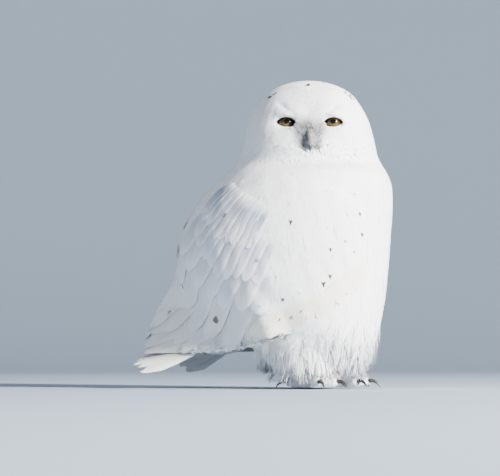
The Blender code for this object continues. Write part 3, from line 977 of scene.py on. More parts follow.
def flecks_on(tips, within=0.008):
    """How dark each feather's mark is. The head's marks are the ones darker than 1."""
    value = np.zeros(len(tips))
    for *place, dark in marks.tolist():
        gaps = np.linalg.norm(tips - place, axis=1)
        for best in gaps.argsort()[: 1 if dark <= 1 else 3]:
            if gaps[best] < within:
                value[best] = dark
    return value


print("marked skin points:", int((nearest < 0.0075).sum()))

# %% [markdown]
# ## The small feathers
#
# Every small feather starts at the skin, rises to the outline within its first half, and lies
# flat from there. One with a mark lies a little proud of its neighbours, so that they don't hide
# it, and one of the underlay is sunk.


# %% Lay a group of small feathers of one kind
def lay_small(plumes, roots, kind, tint=0.0):
    """A kind gives length and half width in gaps, rows and columns, the tip and the lie."""
    if not len(roots):
        return
    gap = gap_at(roots)
    jitter = 1 + (dice.random(len(roots)) - 0.5) * 0.3
    lengths = gap * kind["long"] * jitter
    lines, normals = lines_on(hull, roots, lengths, kind["rows"], 0.12)
    along = np.linspace(0, 1, kind["rows"])[None]
    depth, sink = coat_depth(roots)[:, None], kind.get("sink", 0)
    fleck = flecks_on(lines[:, int(kind["rows"] * 0.8)]) * (sink == 0)
    level = (dice.random(len(roots)) - 0.6) * kind["loose"] - sink
    level = (level + 0.0004 * (fleck > 0))[:, None]
    lift = -depth * 0.95 * (1 - ramp(along, 0.0, kind["full"])) + level
    lift = lift + kind["proud"] * along**2 * jitter[:, None]
    wide, tip = gap * kind["wide"] * jitter, (kind["round"], kind["notch"], kind["cup"])
    points, facing = vanes(lines, normals, kind["columns"], wide, lift, *tip)
    points[..., 2] = np.maximum(points[..., 2], 0.0004)
    plumes.add(points, patches_at(roots), np.zeros(len(roots)) + tint, fleck, facing)


# %% [markdown]
# Between the eyes and round the bill the plumage is grey. The grey is partly the bristles' own
# dark and partly painted shade, such as the brow and the bill cast there. It is a wedge that is
# wide between the eyes and narrow at the bill's tip. It fades out over the small feathers beside
# it, and the white rolls below stay clear of it.


# %% The grey of the face
def bristle_tone_and_shade(a, z):
    """Greyest along the middle of a wedge that narrows down to the bill's tip.
    The grey is the bristles' own dark and painted shade.
    """
    high = ramp(z, BILL_TIP_Z + 0.006, FACE_Z + 0.004)
    beside = np.abs(a) / (0.019 + 0.018 * high)
    fade = 1 - 0.75 * ramp(z, FACE_Z - 0.006, FACE_Z + 0.012)
    return 0.86 * (1 - ramp(beside, 0.40, 1.1)) * fade


def face_tone_and_shade(places):
    """The wedge's grey on the feathers round it, down to the roll beside the bill.
    There it is partly the feathers' own grey and partly painted shade.
    """
    a, up, _ = from_head(places)
    over_roll = ramp(up - np.interp(np.abs(a), ROLL_ACROSS, ROLL_TOP), 0.002, 0.012)
    return bristle_tone_and_shade(a, places[:, 2]) * over_roll


print("grey between the eyes:", round(float(bristle_tone_and_shade(0.0, FACE_Z)), 2))

# %% [markdown]
# Each region gets its own kind. Body feathers are broad and soft with a frayed tip, head feathers
# are smaller, because their gaps are, and those of the face and toes are fine as hair.

# %% Lay the small feathers, region by region
BODY = dict(
    long=5.8, wide=1.2, rows=7, columns=5, round=0.22, notch=0.07, cup=0.04,
    full=0.32, proud=0.0002, loose=0.0003,
)  # fmt: skip
HEAD = dict(BODY, long=5.6, wide=1.15, rows=6, notch=0.08, cup=0.02, full=0.35, proud=0.0001)
FACE = dict(HEAD, long=6.2, wide=0.75, columns=3, round=0.2, notch=0.12, loose=0.0002)
FOOT = dict(
    long=4.4, wide=0.42, rows=6, columns=3, round=0.15, notch=0.2, cup=0.1,
    full=0.5, proud=0.0016, loose=0.0006,
)  # fmt: skip
UNDERLAY = dict(BODY, long=4.6, sink=0.0026)
is_head = head_share(roots) > 0.5
is_face = is_head & (from_head(roots)[2] > 0.035) & (eye_distance(roots)[0] < 0.05)
is_foot = roots[:, 2] < 0.036
coat = Plumes("coat", contour_white, 0.85)
lay_small(coat, roots[~is_head & ~is_foot], BODY)
lay_small(coat, roots[is_head & ~is_face], HEAD)
# The face's feathers carry the wedge's grey, which is partly painted shade.
face = Plumes("face", bristle_and_shade_grey, 0.85)
lay_small(face, roots[is_face], FACE, face_tone_and_shade(roots[is_face]))
lay_small(coat, roots[is_foot], FOOT)
lay_small(coat, under_wing_rows, UNDERLAY)
coat_pieces = coat.pieces() + face.pieces()

# %% [markdown]
# ## The wing, row by row
#
# On a folded wing the feathers lie like roof tiles, in rows with names. The primaries reach
# furthest back, the secondaries cover them, then the greater and the median coverts, and the
# shoulder feathers fall over all of them.
#
# Large feathers are drawn flat on a chart first, and the chart tells where each point of the
# drawing lies on the bird. On the wing's chart a place is given from front to back and by its
# height, and it is dropped onto the bird from the side. A tip that would hang past the wing's rim
# is drawn in to just outside the rim, so that it follows the wing's own outline.


# %% Charts of the wing's outer and inner face
RIM_STEP = 0.0012


def from_side(side):
    def chart(y, z):
        for step in range(18):
            for back, up in ((step, 0), (0, step), (step, step)):
                if up and z > 0.12:
                    continue
                drawn_in = y - math.copysign(back * RIM_STEP, y)
                start = Vector((side * 0.5, drawn_in, z + up * RIM_STEP))
                point, _, face, _ = hull.tree.ray_cast(start, Vector((-side, 0, 0)))
                if point and hull.normals[face].x * side > 0.15:
                    past = math.copysign(0.002 * (1 - math.exp(-back * 0.6)), y)
                    below = 0.0015 * (1 - math.exp(-up * 0.6))
                    return point + Vector((0, past, -below)), hull.normals[face]
        return hull.seen_from_side(Vector((0, y, z)), side)

    return chart


def from_inside(side):
    """The same map for the wing's inner face, where it stands free behind the rump."""
    outside = from_side(side)

    def chart(y, z):
        way = Vector((side, 0, 0))
        point, _, face, _ = hull.tree.ray_cast(Vector((side * 0.002, y, z)), way)
        if point and hull.normals[face].dot(way) < -0.2:
            return point, hull.normals[face]
        point, facing = outside(y, z)
        return point - facing * 0.009, -facing

    return chart


print("the right wing's chart at mid wing:", [round(v, 3) for v in from_side(-1)(0.03, 0.12)[0]])


# %% [markdown]
# A large feather has a fine grid, because its outline shows. It is narrow at the root and
# rounded at the tip, bends a little sideways, and has a raised shaft down the middle. Its two
# sides slope like a roof tile, so that one edge dips under the neighbour.


# %% Draw one large feather on a chart
def on_line(points, share):
    points = np.array(points, float)
    step = np.linalg.norm(np.diff(points, axis=0), axis=1)
    at = np.concatenate([[0], np.cumsum(step)]) / step.sum()
    return np.array([np.interp(share, at, points[:, k]) for k in range(points.shape[1])])


def feather_on(
    chart, root, tip, wide, lift,
    rows=26, columns=9, bow=0.06, rounding=0.16, tilt=0.10, rise=0.002, power=2,
):  # fmt: skip
    """The grid's points and the way that the bird's surface faces at each."""
    root, tip = np.array(root), np.array(tip)
    along = np.linspace(0, 1, rows)
    across = np.linspace(-1, 1, columns)
    way = tip - root
    length = np.linalg.norm(way)
    beside = np.array([-way[1], way[0]]) / length
    points, aims = np.empty((rows, columns, 3)), np.empty((rows, columns, 3))
    wave = dice.random(3) * 6
    for r, v in enumerate(along):
        for c, a in enumerate(across):
            f = v - rounding * abs(a) ** power * v**3
            if r >= rows - 2:
                f -= (c % 2) * dice.random() * 0.0006 / length
            profile = (0.35 + 0.65 * min(1, v * 2.2) ** 0.7) * (1 - 0.42 * max(0, v - 0.5) ** 1.6)
            ripple = 1 + 0.03 * math.sin(9 * v + wave[0]) * abs(a)
            flat = root + way * f + beside * (bow * length * math.sin(math.pi * f))
            flat = flat + beside * (a * wide * profile * ripple)
            point, facing = chart(float(flat[0]), float(flat[1]))
            shaft = 0.0005 * max(0, 1 - abs(a) * 5) * (1 - v)
            hump = 0.09 * wide * (1 - a * a) + 0.0003 * math.sin(7 * v + 4 * a + wave[1])
            slope = -a * tilt * wide + rise * (v - 0.5) - 0.0032 * max(0, 1 - v / 0.2) ** 2
            points[r, c] = Vector(point) + facing * (lift + shaft + hump + slope)
            aims[r, c] = facing
    return points, aims


# %% [markdown]
# Large feathers need a tidy map of their own, because each one covers a wide stretch of skin. So
# each gets one cell of a square grid. The marks are written on them point by point.


# %% Collect large feathers
class Rows:
    """Rows of large feathers with a tidy map: each one has its own cell of a square grid."""

    def __init__(self, name, material, cells, softness=0.45):
        self.plumes = Plumes(name, material, softness)
        self.cells, self.used = cells, 0

    def add(self, made, tint=0.0, spot=None):
        """A spot is a place on the feather, along and across as shares, and how dark it is."""
        points, aims = made
        middle_row, last = len(points) // 2, points.shape[1] - 1
        side = points[middle_row, last] - points[middle_row, 0]
        ahead = points[middle_row + 1, last // 2] - points[middle_row, last // 2]
        if np.cross(side, ahead) @ aims[middle_row, last // 2] < 0:
            points, aims = points[:, ::-1], aims[:, ::-1]
        column, row = self.used % self.cells, self.used // self.cells
        size = 1 / self.cells
        bake = [[(column + 0.05) * size, (row + 0.05) * size, 0.9 * size, 0.9 * size]]
        self.used += 1
        known = marks
        if spot:
            r, c = round(spot[0] * (len(points) - 1)), round(spot[1] * last)
            known = np.concatenate([marks, [[*points[r, c], spot[2]]]])
        gaps = np.linalg.norm(points[:, :, None] - known[:, :3], axis=3)
        fleck = (np.clip(1.25 - gaps / 0.0060, 0, 1) * known[:, 3]).max(axis=2)
        self.plumes.add(points[None], np.array(bake), np.array([tint]), fleck[None], aims[None])


# %% [markdown]
# A row is given by a line for its roots and a line for its tips, as places from front to back and
# heights. The rows that lie lower come first, and each has its own lift, so they overlap in the
# right order. Lower rows are a little creamier, and upper ones carry painted blue-grey shade in
# their middles.

# %% The rows of a folded wing, from the lowest layer to the top one
# A tint below zero paints blue-grey shade into the middles of a row's feathers.
WING_ROWS = {
    "primaries": dict(
        count=7, wide=0.0130, lift=-0.0022, tint=0.3,
        roots=((0.000, 0.064), (0.045, 0.130)),
        tips=((0.120, 0.047), (0.160, 0.048), (0.178, 0.062), (0.171, 0.090), (0.159, 0.110)),
    ),
    "secondaries": dict(
        count=7, wide=0.0165, lift=-0.0015, tint=0.2,
        roots=((-0.030, 0.100), (0.058, 0.200)),
        tips=((0.050, 0.047), (0.098, 0.048), (0.134, 0.073), (0.149, 0.118)),
    ),
    "greater_coverts": dict(
        count=6, wide=0.0185, lift=-0.0008, tint=0.0,
        roots=((-0.050, 0.120), (0.050, 0.225)),
        tips=((-0.004, 0.049), (0.037, 0.049), (0.090, 0.079), (0.117, 0.142)),
    ),
    "median_coverts": dict(
        count=7, wide=0.0155, lift=0.0002, tint=-0.3,
        roots=((-0.060, 0.160), (0.035, 0.245)),
        tips=((-0.022, 0.098), (0.025, 0.104), (0.075, 0.138), (0.096, 0.184)),
    ),
    "scapulars": dict(
        count=9, wide=0.0110, lift=0.0008, tint=-0.6,
        roots=((-0.055, 0.200), (0.024, 0.258)),
        tips=((-0.022, 0.138), (0.040, 0.150), (0.070, 0.200)),
    ),
    "upper_scapulars": dict(
        count=10, wide=0.0085, lift=0.0012, tint=-0.8,
        roots=((-0.050, 0.245), (0.012, 0.274)),
        tips=((-0.012, 0.183), (0.036, 0.198), (0.058, 0.232)),
    ),
}  # fmt: skip
print("feathers in each wing's rows:", sum(row["count"] for row in WING_ROWS.values()))


def off_line(most):
    """A small random step, so that no row is quite even."""
    return (dice.random(2) - 0.5) * most


def lay_wing_rows(rows, chart):
    for row in WING_ROWS.values():
        for k in range(row["count"]):
            share = k / (row["count"] - 1)
            root = on_line(row["roots"], share) + off_line(0.004)
            tip = on_line(row["tips"], share) + off_line(0.007)
            lift = row["lift"] + 0.0006 * share - 0.0010 * (1 - share) ** 4
            tilt = 0.085 * min(1.0, 0.1 + 2 * share)
            made = feather_on(chart, root, tip, row["wide"], lift, tilt=tilt)
            rows.add(made, row["tint"] + 0.3 * (dice.random() - 0.5) * (row["tint"] < 0.1))


# %% [markdown]
# Along the wing's lower front edge lie three rows of short creamy feathers, which narrow towards
# the breast. Three of them carry a spot. The lowest row tips inwards, so that its edge sinks into
# the belly's feathers. Behind, where the wing tips stand free of the body, their inner face needs
# feathers of its own.


# %% The cream edge and the inner face of a wing
EDGE_LINE = ((-0.160, 0.157), (-0.126, 0.117), (-0.097, 0.096), (-0.055, 0.078), (-0.014, 0.053))
EDGE_ROWS = (
    # height over the line, half width in millimetres, how many, tilt, which carry a spot
    (0.001, 7.5, 22, -0.11, ()),
    (0.011, 7.5, 22, -0.03, ()),
    (0.020, 7.0, 20, 0.0, (9, 11, 14)),
)
INNER_ROOTS = ((0.010, 0.062), (0.060, 0.150), (0.080, 0.215))
INNER_TIPS = ((0.120, 0.053), (0.170, 0.062), (0.166, 0.098), (0.130, 0.150))


def lay_leading_edge(rows, chart):
    for level, (above, wide, count, tilt, spotted) in enumerate(EDGE_ROWS):
        for k in range(count):
            share = k / count * 0.80
            here, there = on_line(EDGE_LINE, share), on_line(EDGE_LINE, min(1, share + 0.24))
            taper = 0.45 + 0.55 * share / 0.8
            up = np.array([0.35, 0.94]) * above * taper
            root = here + up + off_line(0.004)
            tip = there + up * 0.7 + off_line(0.009)
            spot = (0.8, 0.5, 0.9) if k in spotted else None
            half = wide * 0.001 * (0.7 + 0.3 * taper)
            lift = 0.0004 + 0.00025 * level + 0.0002 * dice.random()
            made = feather_on(chart, root, tip, half, lift, 10, 7, 0.05, 0.22, tilt, 0.0006)
            rows.add(made, 1.0, spot)


def lay_inner_face(rows, chart, count=9):
    for k in range(count):
        root, tip = (on_line(line, k / (count - 1)) for line in (INNER_ROOTS, INNER_TIPS))
        rows.add(feather_on(chart, root, tip, 0.0140, -0.0022, tilt=0.05), 0.25)


# %% [markdown]
# Now both wings are dressed. The rows and the edge become pieces of their own, because the short
# feathers of the edge take softer light than the stiff ones.

# %% Lay the feathers of both wings
wing_pieces = {}
for side, side_name in ((-1, "right"), (1, "left")):
    rows = Rows(f"wing_feathers_{side_name}", flight_white, 12)
    strip = Rows(f"wing_edge_{side_name}", flight_white, 9, 0.9)
    lay_wing_rows(rows, from_side(side))
    lay_leading_edge(strip, from_side(side))
    lay_inner_face(rows, from_inside(side))
    wing_pieces[side_name] = rows.plumes.pieces() + strip.plumes.pieces()

# %% [markdown]
# ## The lower back
#
# Behind, the tips of the folded wings lie side by side over the rump. The soft feathers of the
# lower back fall over both of them and close the gap, so a sheet is thrown over the gap from
# behind first, and they are laid on that. Towards the sides the chart leaves the sheet and runs
# out onto the wings themselves.

# %% A chart of the back, seen from behind
RUMP_HALF, RUMP_LOW = 0.07, 0.045
corner = Vector((RUMP_HALF, 0, RUMP_LOW))
rump = Sheet((hull.tree,), corner, Vector((-1, 0, 0)), UP, (0.14, 0.245), 0.002, 12, 6)


def from_behind(x, z):
    """The sheet in the middle, which runs out onto the wings' own surface on both sides."""
    place, facing = (Vector(row) for row in rump.at(RUMP_HALF - x, z - RUMP_LOW))
    near, wing_facing = hull.at(place)
    share = float(ramp(abs(x), 0.020, 0.046))
    pull = (near - place) * share
    place = place + pull * min(1.0, 0.010 / max(pull.length, 1e-9))
    place = place + wing_facing * (0.0008 - 0.0018 * share)
    return place, facing.lerp(wing_facing, share).normalized()


print("the chart between the wing tips:", [round(v, 3) for v in from_behind(0.0, 0.12)[0]])

# %% [markdown]
# Six rows are laid on it from the lowest up, and in each row from the outside in, so that the
# middle feather lies on top, as on the real bird.

# %% Close the coat over the rump
RUMP_ROWS = (
    # roots and tips as heights, how many, half width of the row, half width of a feather
    (0.104, 0.051, 3, 0.010, 0.0100),
    (0.132, 0.068, 5, 0.017, 0.0110),
    (0.168, 0.096, 7, 0.027, 0.0115),
    (0.205, 0.132, 9, 0.036, 0.0115),
    (0.240, 0.170, 9, 0.042, 0.0115),
    (0.272, 0.208, 9, 0.044, 0.0110),
)

rump_rows = Rows("rump_feathers", contour_white, 7, 0.6)
for level, (high, low, count, spread, half) in enumerate(RUMP_ROWS):
    for k in sorted(range(count), key=lambda k: -abs(k - (count - 1) / 2)):
        share = k / (count - 1) * 2 - 1
        root = np.array([share * spread * 0.8, high + 0.006 * dice.random()])
        tip = np.array([share * spread * 1.15, low + 0.010 * share**2 + 0.006 * dice.random()])
        lift = 0.0010 + 0.0002 * level - 0.0016 * abs(share)
        tilt = 0.05 * (share < 0) - 0.05 * (share > 0)
        rump_rows.add(feather_on(from_behind, root, tip, half, lift, tilt=tilt, rise=0.0012), 0.1)
rump_pieces = rump_rows.plumes.pieces()

# %% [markdown]
# ## The tail fan
#
# Twelve long feathers make the tail. The outer pair lies lowest and the middle pair on top, and
# each has a raised shaft. They are drawn as rays on the floor plan and dropped from above onto
# the arched tail.

# %% Lay the twelve tail feathers
tail_copy = copy_of("tail_plan", "tail")
modify(tail_copy, "REMESH", mode="VOXEL", voxel_size=0.0016)
tail_tree = tree_of(tail_copy)


def from_above(x, y):
    point, facing, _, _ = tail_tree.ray_cast(Vector((x, y, 0.3)), Vector((0, 0, -1)))
    if point is None:
        point, facing, _, _ = tail_tree.find_nearest(Vector((x, y, 0.03)))
        point = Vector((x, y, point.z))
    return point, (facing + UP * 2).normalized()


TAIL_FEATHERS = 12
TAIL_SPREAD = math.radians(39)
TAIL_ROOT = np.array([0.0, 0.030])
TAIL_LENGTH = 0.152
tail_rows = Rows("tail_feathers", flight_white, 4)
order = sorted(range(TAIL_FEATHERS), key=lambda k: -abs(k - (TAIL_FEATHERS - 1) / 2))
for rank, k in enumerate(order):
    share = k / (TAIL_FEATHERS - 1) * 2 - 1
    angle = TAIL_SPREAD * share + (dice.random() - 0.5) * 0.03
    ray = np.array([math.sin(angle), math.cos(angle)])
    root = TAIL_ROOT + ray * 0.012 + [share * 0.012, 0]
    tip = TAIL_ROOT + ray * (TAIL_LENGTH + (dice.random() - 0.5) * 0.010)
    lift = -0.0016 + 0.00035 * rank
    tilt = -0.10 if share > 0 else 0.10
    bow = 0.02 * share
    made = feather_on(from_above, root, tip, 0.0160, lift, 26, 9, bow, 0.20, tilt, 0.0, 1.3)
    spot = (0.84, 0.3, 0.8) if k in (1, 4, 9) else None
    tail_rows.add(made, 0.2 + 0.35 * dice.random(), spot)
bpy.data.objects.remove(tail_copy)
tail_pieces = tail_rows.plumes.pieces()

# %% [markdown]
# ## The fringe of the belly and the legs
#
# The legs are hidden in long soft feathers that hang down to the toes. They are fine strands that
# leave the surface and fall freely, so they are drawn as lines bent downwards, not laid flat.
# About ten at a time lean towards one leader, which makes the tufts.


# %% Hang loose strands from these roots
def hang(plumes, roots, length, wide, swing, gather):
    """Strands of this length and half width, which swing and gather by these shares."""
    count, rows = len(roots), 8
    lines, normals = lines_on(hull, roots, np.full(count, 0.004), 3, 0.0)
    start, out = lines[:, 1], normals[:, 1]
    leaders = dice.choice(count, count // 10, replace=False)
    shelf = KDTree(len(leaders))
    for number, leader in enumerate(leaders.tolist()):
        shelf.insert(start[leader], number)
    shelf.balance()
    tuft = np.array([shelf.find(place)[1] for place in start.tolist()])
    along = np.linspace(0, 1, rows)
    size = length * (0.55 + 0.75 * dice.random(len(leaders)))[tuft]
    size = size * (0.8 + 0.4 * dice.random(count))
    drift = (dice.random((len(leaders), 3))[tuft] - 0.5) * [1, 1, 0] * swing
    drift = drift + (dice.random((count, 3)) - 0.5) * 0.12
    way = unit(flow(start, out) + np.array([0, 0, -0.9]))
    down = along[None, :, None]
    fall = way[:, None] * (1 - down) + np.array([0, 0, -1.0]) * down
    fall = unit(fall + out[:, None] * 0.07 * (1 - down) + drift[:, None])
    step = (size / (rows - 1))[:, None, None]
    strands = start[:, None] + np.concatenate(
        [np.zeros((count, 1, 3)), np.cumsum(fall[:, :-1] * step, axis=1)], axis=1
    )
    pull = (start[leaders][tuft] - start) * gather
    strands = strands + pull[:, None] * down**1.6
    floor = 0.0035 + 0.012 * dice.random((count, 1))
    strands[..., 2] = np.maximum(strands[..., 2], floor)
    facing = np.repeat(out[:, None], rows, axis=1)
    depth = 0.0040 * (1 - ramp(along, 0.0, 0.45))[None]
    half = wide * (0.7 + 0.6 * dice.random(count))
    lift = 0.0006 - depth + np.zeros((count, 1))
    points, aims = vanes(strands, facing, 3, half, lift, 0.1, 0.2, 0.1, 0.8)
    plumes.add(points, patches_at(roots), np.zeros(count), np.zeros(count), aims)


# %% [markdown]
# The strands stand thickest low on the legs and thin out up the belly, where they run over into
# the flat feathers. None grows on the wings or on the toes.


# %% Cover legs and belly
def fringe_gap(places):
    low = 1 - ramp(places[:, 2], 0.045, 0.085)
    return 0.0023 - 0.0010 * low


low_roots = scatter(envelope, 260000, fringe_gap)
y, z = low_roots[:, 1], low_roots[:, 2]
keep = (z > 0.024) & (z < 0.1 - 0.3 * np.maximum(0, y + 0.02)) & (y < -0.005)
low_roots = low_roots[keep & (dice.random(len(y)) > ramp(z, 0.045, 0.105))]
low_roots = low_roots[~on_wing(low_roots)]
fringe = Plumes("fringe", contour_white, 0.97)
hang(fringe, low_roots, 0.025, 0.00042, 0.20, 0.6)
fringe_pieces = fringe.pieces()
print("loose strands:", len(low_roots))

# %% [markdown]
# ## Eyes
#
# An owl's eye is almost all iris: amber, with a round pupil and a black rim. The colour is drawn
# in rings on a map of the eyeball that is its plain front view. The upper part is dark, because
# the brow always shades it, and that shade is what makes the look so stern.

# %% Eye material
board = Board("eye_amber", roughness=0.04, IOR=1.38)
u, v, _ = board.split(board.attribute("front_view", out=1))
u, v = u - 0.5, v - 0.555
under_brow = v.between(-0.15, -0.03)
radius = (u * u + v * v).math("SQRT") * 2
angle = u.math("ARCTAN2", v)
spokes = board.node("ShaderNodeCombineXYZ", {}, angle * 5, radius * 2, 0.0)
streaks = board.noise(spokes, 5.0, 3.0).between(0.3, 0.7)
amber = board.mix(streaks, (0.058, 0.031, 0.005, 1), (0.125, 0.077, 0.012, 1))
for ring, colour in (
    (radius.between(0.55, 0.92), (0.10, 0.045, 0.008, 1)),
    (radius.between(0.92, 0.97), (0.004, 0.003, 0.002, 1)),
    (under_brow * 0.95, (0.014, 0.008, 0.003, 1)),
    (1 - radius.between(0.27, 0.30), (0.002, 0.002, 0.002, 1)),
):
    amber = board.mix(ring, amber, colour)
eye_amber = board.set(Base_Color=amber)

# %% [markdown]
# The lids are bare black skin at the edge, which turns white where the feathers begin. Their own
# map, called rim, runs round the eye and from the inner edge out.

# %% Lid material
board = Board("lid_rim", roughness=0.38)
u, v, _ = board.split(board.attribute("rim", out=1))
wrinkles = board.noise(board.place(), 1500.0, 3.0)
skin_edge = (v + wrinkles * 0.10).between(0.56, 0.66)
lid_colour = board.mix(skin_edge, (0.010, 0.008, 0.007, 1), (0.82, 0.82, 0.82, 1))
lid_rim = board.set(Base_Color=lid_colour, Normal=board.bump(wrinkles, 0.5, 0.0005))
print("eye materials:", eye_amber.name, "and", lid_rim.name)

# %% [markdown]
# The eyeball is a sphere with its pole turned to the front, where the clear bulge of the cornea
# swells. It is made at the middle of the scene first, because there its front view is simply x
# and y, and then it is turned to the face and moved into the head.


# %% Model an eyeball
def eyeball(side):
    pick()
    radius = EYE_RADIUS * 0.985
    bpy.ops.mesh.primitive_uv_sphere_add(segments=64, ring_count=40, radius=radius)
    ball = bpy.context.object
    ball.name = ball.data.name = f"eyeball_{side}"
    mesh = ball.data
    layer = mesh.uv_layers.new(name="front_view")
    for loop in mesh.loops:
        co = mesh.vertices[loop.vertex_index].co
        layer.uv[loop.index].vector = (0.5 + co.x / (2 * radius), 0.5 + co.y / (2 * radius))
    for vertex in mesh.vertices:
        share = max(0.0, vertex.co.z / radius)
        vertex.co *= 1 + 0.035 * max(0.0, share - 0.72) / 0.28
    to_face = Matrix((ACROSS, UP, FACING)).transposed().to_4x4()
    mesh.transform(Matrix.Translation(EYES[side]) @ to_face)
    bpy.ops.object.shade_smooth()
    mesh.materials.append(eye_amber)
    print(ball.name, "at", [round(c, 4) for c in EYES[side]])
    return ball


eyeballs = {side: eyeball(side) for side in EYES}

# %% [markdown]
# The lids are a ring of bare dark skin round each eye. The ring starts on the eyeball, folds over
# a rounded edge and runs out under the feathers. It begins as a circle that is extruded a few
# times, and then each ring of points is moved to its outline: an almond that is flatter above
# than below and pointed at the outer corner.

# %% The outline of the lids
LID_RINGS = (
    # how large each ring is against the opening, and how far it stands out
    (0.88, -0.001), (0.95, 0.0006), (1.02, 0.0013), (1.10, 0.0003), (1.25, -0.0022), (1.6, -0.004)
)  # fmt: skip


def lid_outline(t, outer):
    """The almond's half width and height at this angle, with the outer corner drawn out."""
    a, b = math.cos(t), math.sin(t)
    corner = abs(a) ** 6
    wide = EYE_WIDE * (1 + 0.06 * corner * (a * outer > 0))
    high = (0.0064 if b > 0 else 0.0056) * (1 - 0.12 * corner)
    return a * wide, b * high * abs(b) ** 0.12 + 0.0006 * a * outer


widest = max(lid_outline(k / 18 * math.pi, 1)[0] for k in range(37))
print("half the opening's width in millimetres:", round(1000 * widest, 1))

# %% [markdown]
# The inner rings follow the eyeball and the outer ones the plumage, so both heights are looked up
# for each point. Between them the upper lid stands a little further out, as a brow.


# %% Model the lids
def front_of(side, a, b):
    """How far in front of the eye's middle the plumage and the eyeball are, at this offset."""
    start = EYES[side] + ACROSS * a + UP * b + FACING * 0.1
    hit = hull.tree.ray_cast(start, -FACING)[0]
    cover = (hit - EYES[side]).dot(FACING) if hit else 0.008
    ball = math.sqrt(max(0.0, EYE_RADIUS**2 - a * a - b * b))
    return cover, ball


def lids(side):
    pick()
    count = 56
    bpy.ops.mesh.primitive_circle_add(vertices=count, radius=0.01)
    ring = bpy.context.object
    ring.name = ring.data.name = f"lids_{side}"
    bpy.ops.object.mode_set(mode="EDIT")
    bpy.ops.mesh.select_mode(type="EDGE")
    for _ in LID_RINGS[1:]:
        bpy.ops.mesh.extrude_edges_move(TRANSFORM_OT_translate={"value": (0, 0, 0.001)})
    bpy.ops.object.mode_set(mode="OBJECT")
    outer = -1 if side == "right" else 1
    angles = {}
    for vertex in ring.data.vertices:
        t = math.atan2(vertex.co.y, vertex.co.x)
        row = round(vertex.co.z / 0.001)
        angles[vertex.index] = (t, row)
        scale, proud = LID_RINGS[row]
        a, b = lid_outline(t, outer)
        extra = (scale - 1) * 0.0055
        a, b = a + extra * math.cos(t), b + extra * math.sin(t) * 1.3
        cover, ball = front_of(side, a, b)
        ball = max(ball, min(cover, 0.0105) - 0.0042)
        share = min(1, max(0, (scale - 0.965) / 0.3))
        share = share * share * (3 - 2 * share)
        level = ball * (1 - share) + (cover - 0.0012) * share
        brow = 0.0022 * max(0.0, math.sin(t)) * (1 - abs(2 * share - 1))
        place = EYES[side] + ACROSS * a + UP * b + FACING * (level + proud + brow)
        vertex.co = place
    layer = ring.data.uv_layers.new(name="rim")
    for loop in ring.data.loops:
        t, row = angles[loop.vertex_index]
        layer.uv[loop.index].vector = (t / math.tau + 0.5, row / (len(LID_RINGS) - 1))
    pick(ring)
    bpy.ops.object.mode_set(mode="EDIT")
    bpy.ops.mesh.select_all(action="SELECT")
    bpy.ops.mesh.normals_make_consistent(inside=False)
    bpy.ops.object.mode_set(mode="OBJECT")
    normal = ring.data.polygons[0].normal
    if normal.dot(FACING) < 0:
        ring.data.flip_normals()
    modify(ring, "SUBSURF", levels=2, render_levels=2)
    bpy.ops.object.shade_smooth()
    ring.data.materials.append(lid_rim)
    print(ring.name, len(ring.data.polygons), "faces")
    return ring


lid_rings = {side: lids(side) for side in EYES}

# %% [markdown]
# ## Bill and claws
#
# Both are horn and nearly black; on the bird it is smooth at the tip and faintly ridged at the
# base, and here a faint ridged grain runs all over. Their solids have the right form but flat
# facets, so copies are remeshed finely and relaxed until they are round.

# %% Round the bill and the claws
board = Board("dark_horn", roughness=0.32, Coat_Weight=0.25, Coat_Roughness=0.2)
grain = board.noise(board.place(), 420.0, 4.0)
ridged = grain.between(0.35, 0.7)
horn_colour = board.mix(ridged, (0.012, 0.011, 0.011, 1), (0.050, 0.045, 0.042, 1))
dark_horn = board.set(
    Base_Color=horn_colour,
    Roughness=grain.between(0.2, 0.9) * 0.25 + 0.25,
    Normal=board.bump(grain, 0.25, 0.0003),
)


def rounded(name, voxel, turns, *nodes):
    piece = copy_of(name, *nodes)
    modify(piece, "REMESH", mode="VOXEL", voxel_size=voxel)
    modify(piece, "SMOOTH", factor=0.6, iterations=turns)
    pick(piece)
    bpy.ops.object.shade_smooth()
    piece.data.materials.append(dark_horn)
    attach(piece, "root")
    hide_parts(*nodes)
    print(name, len(piece.data.polygons), "faces")
    return piece


bill = rounded("bill_horn", 0.0006, 12, "bill")
claw_nodes = sorted(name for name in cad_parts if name.startswith("claw"))
for foot in ("right", "left"):
    rounded(f"claws_{foot}", 0.0005, 5, *(name for name in claw_nodes if foot in name))

# %% [markdown]
# ## Bristles over the bill
#
# Stiff fine feathers grow between the eyes and the bill and sweep forward and down over it, so
# that only the hooked tip shows. They lie on a soft sheet thrown over face and bill, which fills
# the creases beside the bill.

# %% Throw a sheet over face and bill
BRIDGE_HALF = 0.032
corner = HEAD_MIDDLE - ACROSS * BRIDGE_HALF
corner.z = BILL_TIP_Z - 0.006
bridge = Sheet((hull.tree, tree_of(bill)), corner, ACROSS, UP, (0.064, 0.066), 0.001, 0, 44)
over_bill = bridge.at(BRIDGE_HALF, BILL_TIP_Z + 0.010 - corner.z)[0]
print("the sheet over the bill's ridge:", over_bill.round(3))

# %% [markdown]
# A bed of down in the same greys goes right under them, so that nothing dark shows between the
# bristles. Then the bristles themselves are laid: more of them near the middle, each from a root
# beside the bill to an end that lies lower and nearer to the ridge.


# %% Lay the bristles


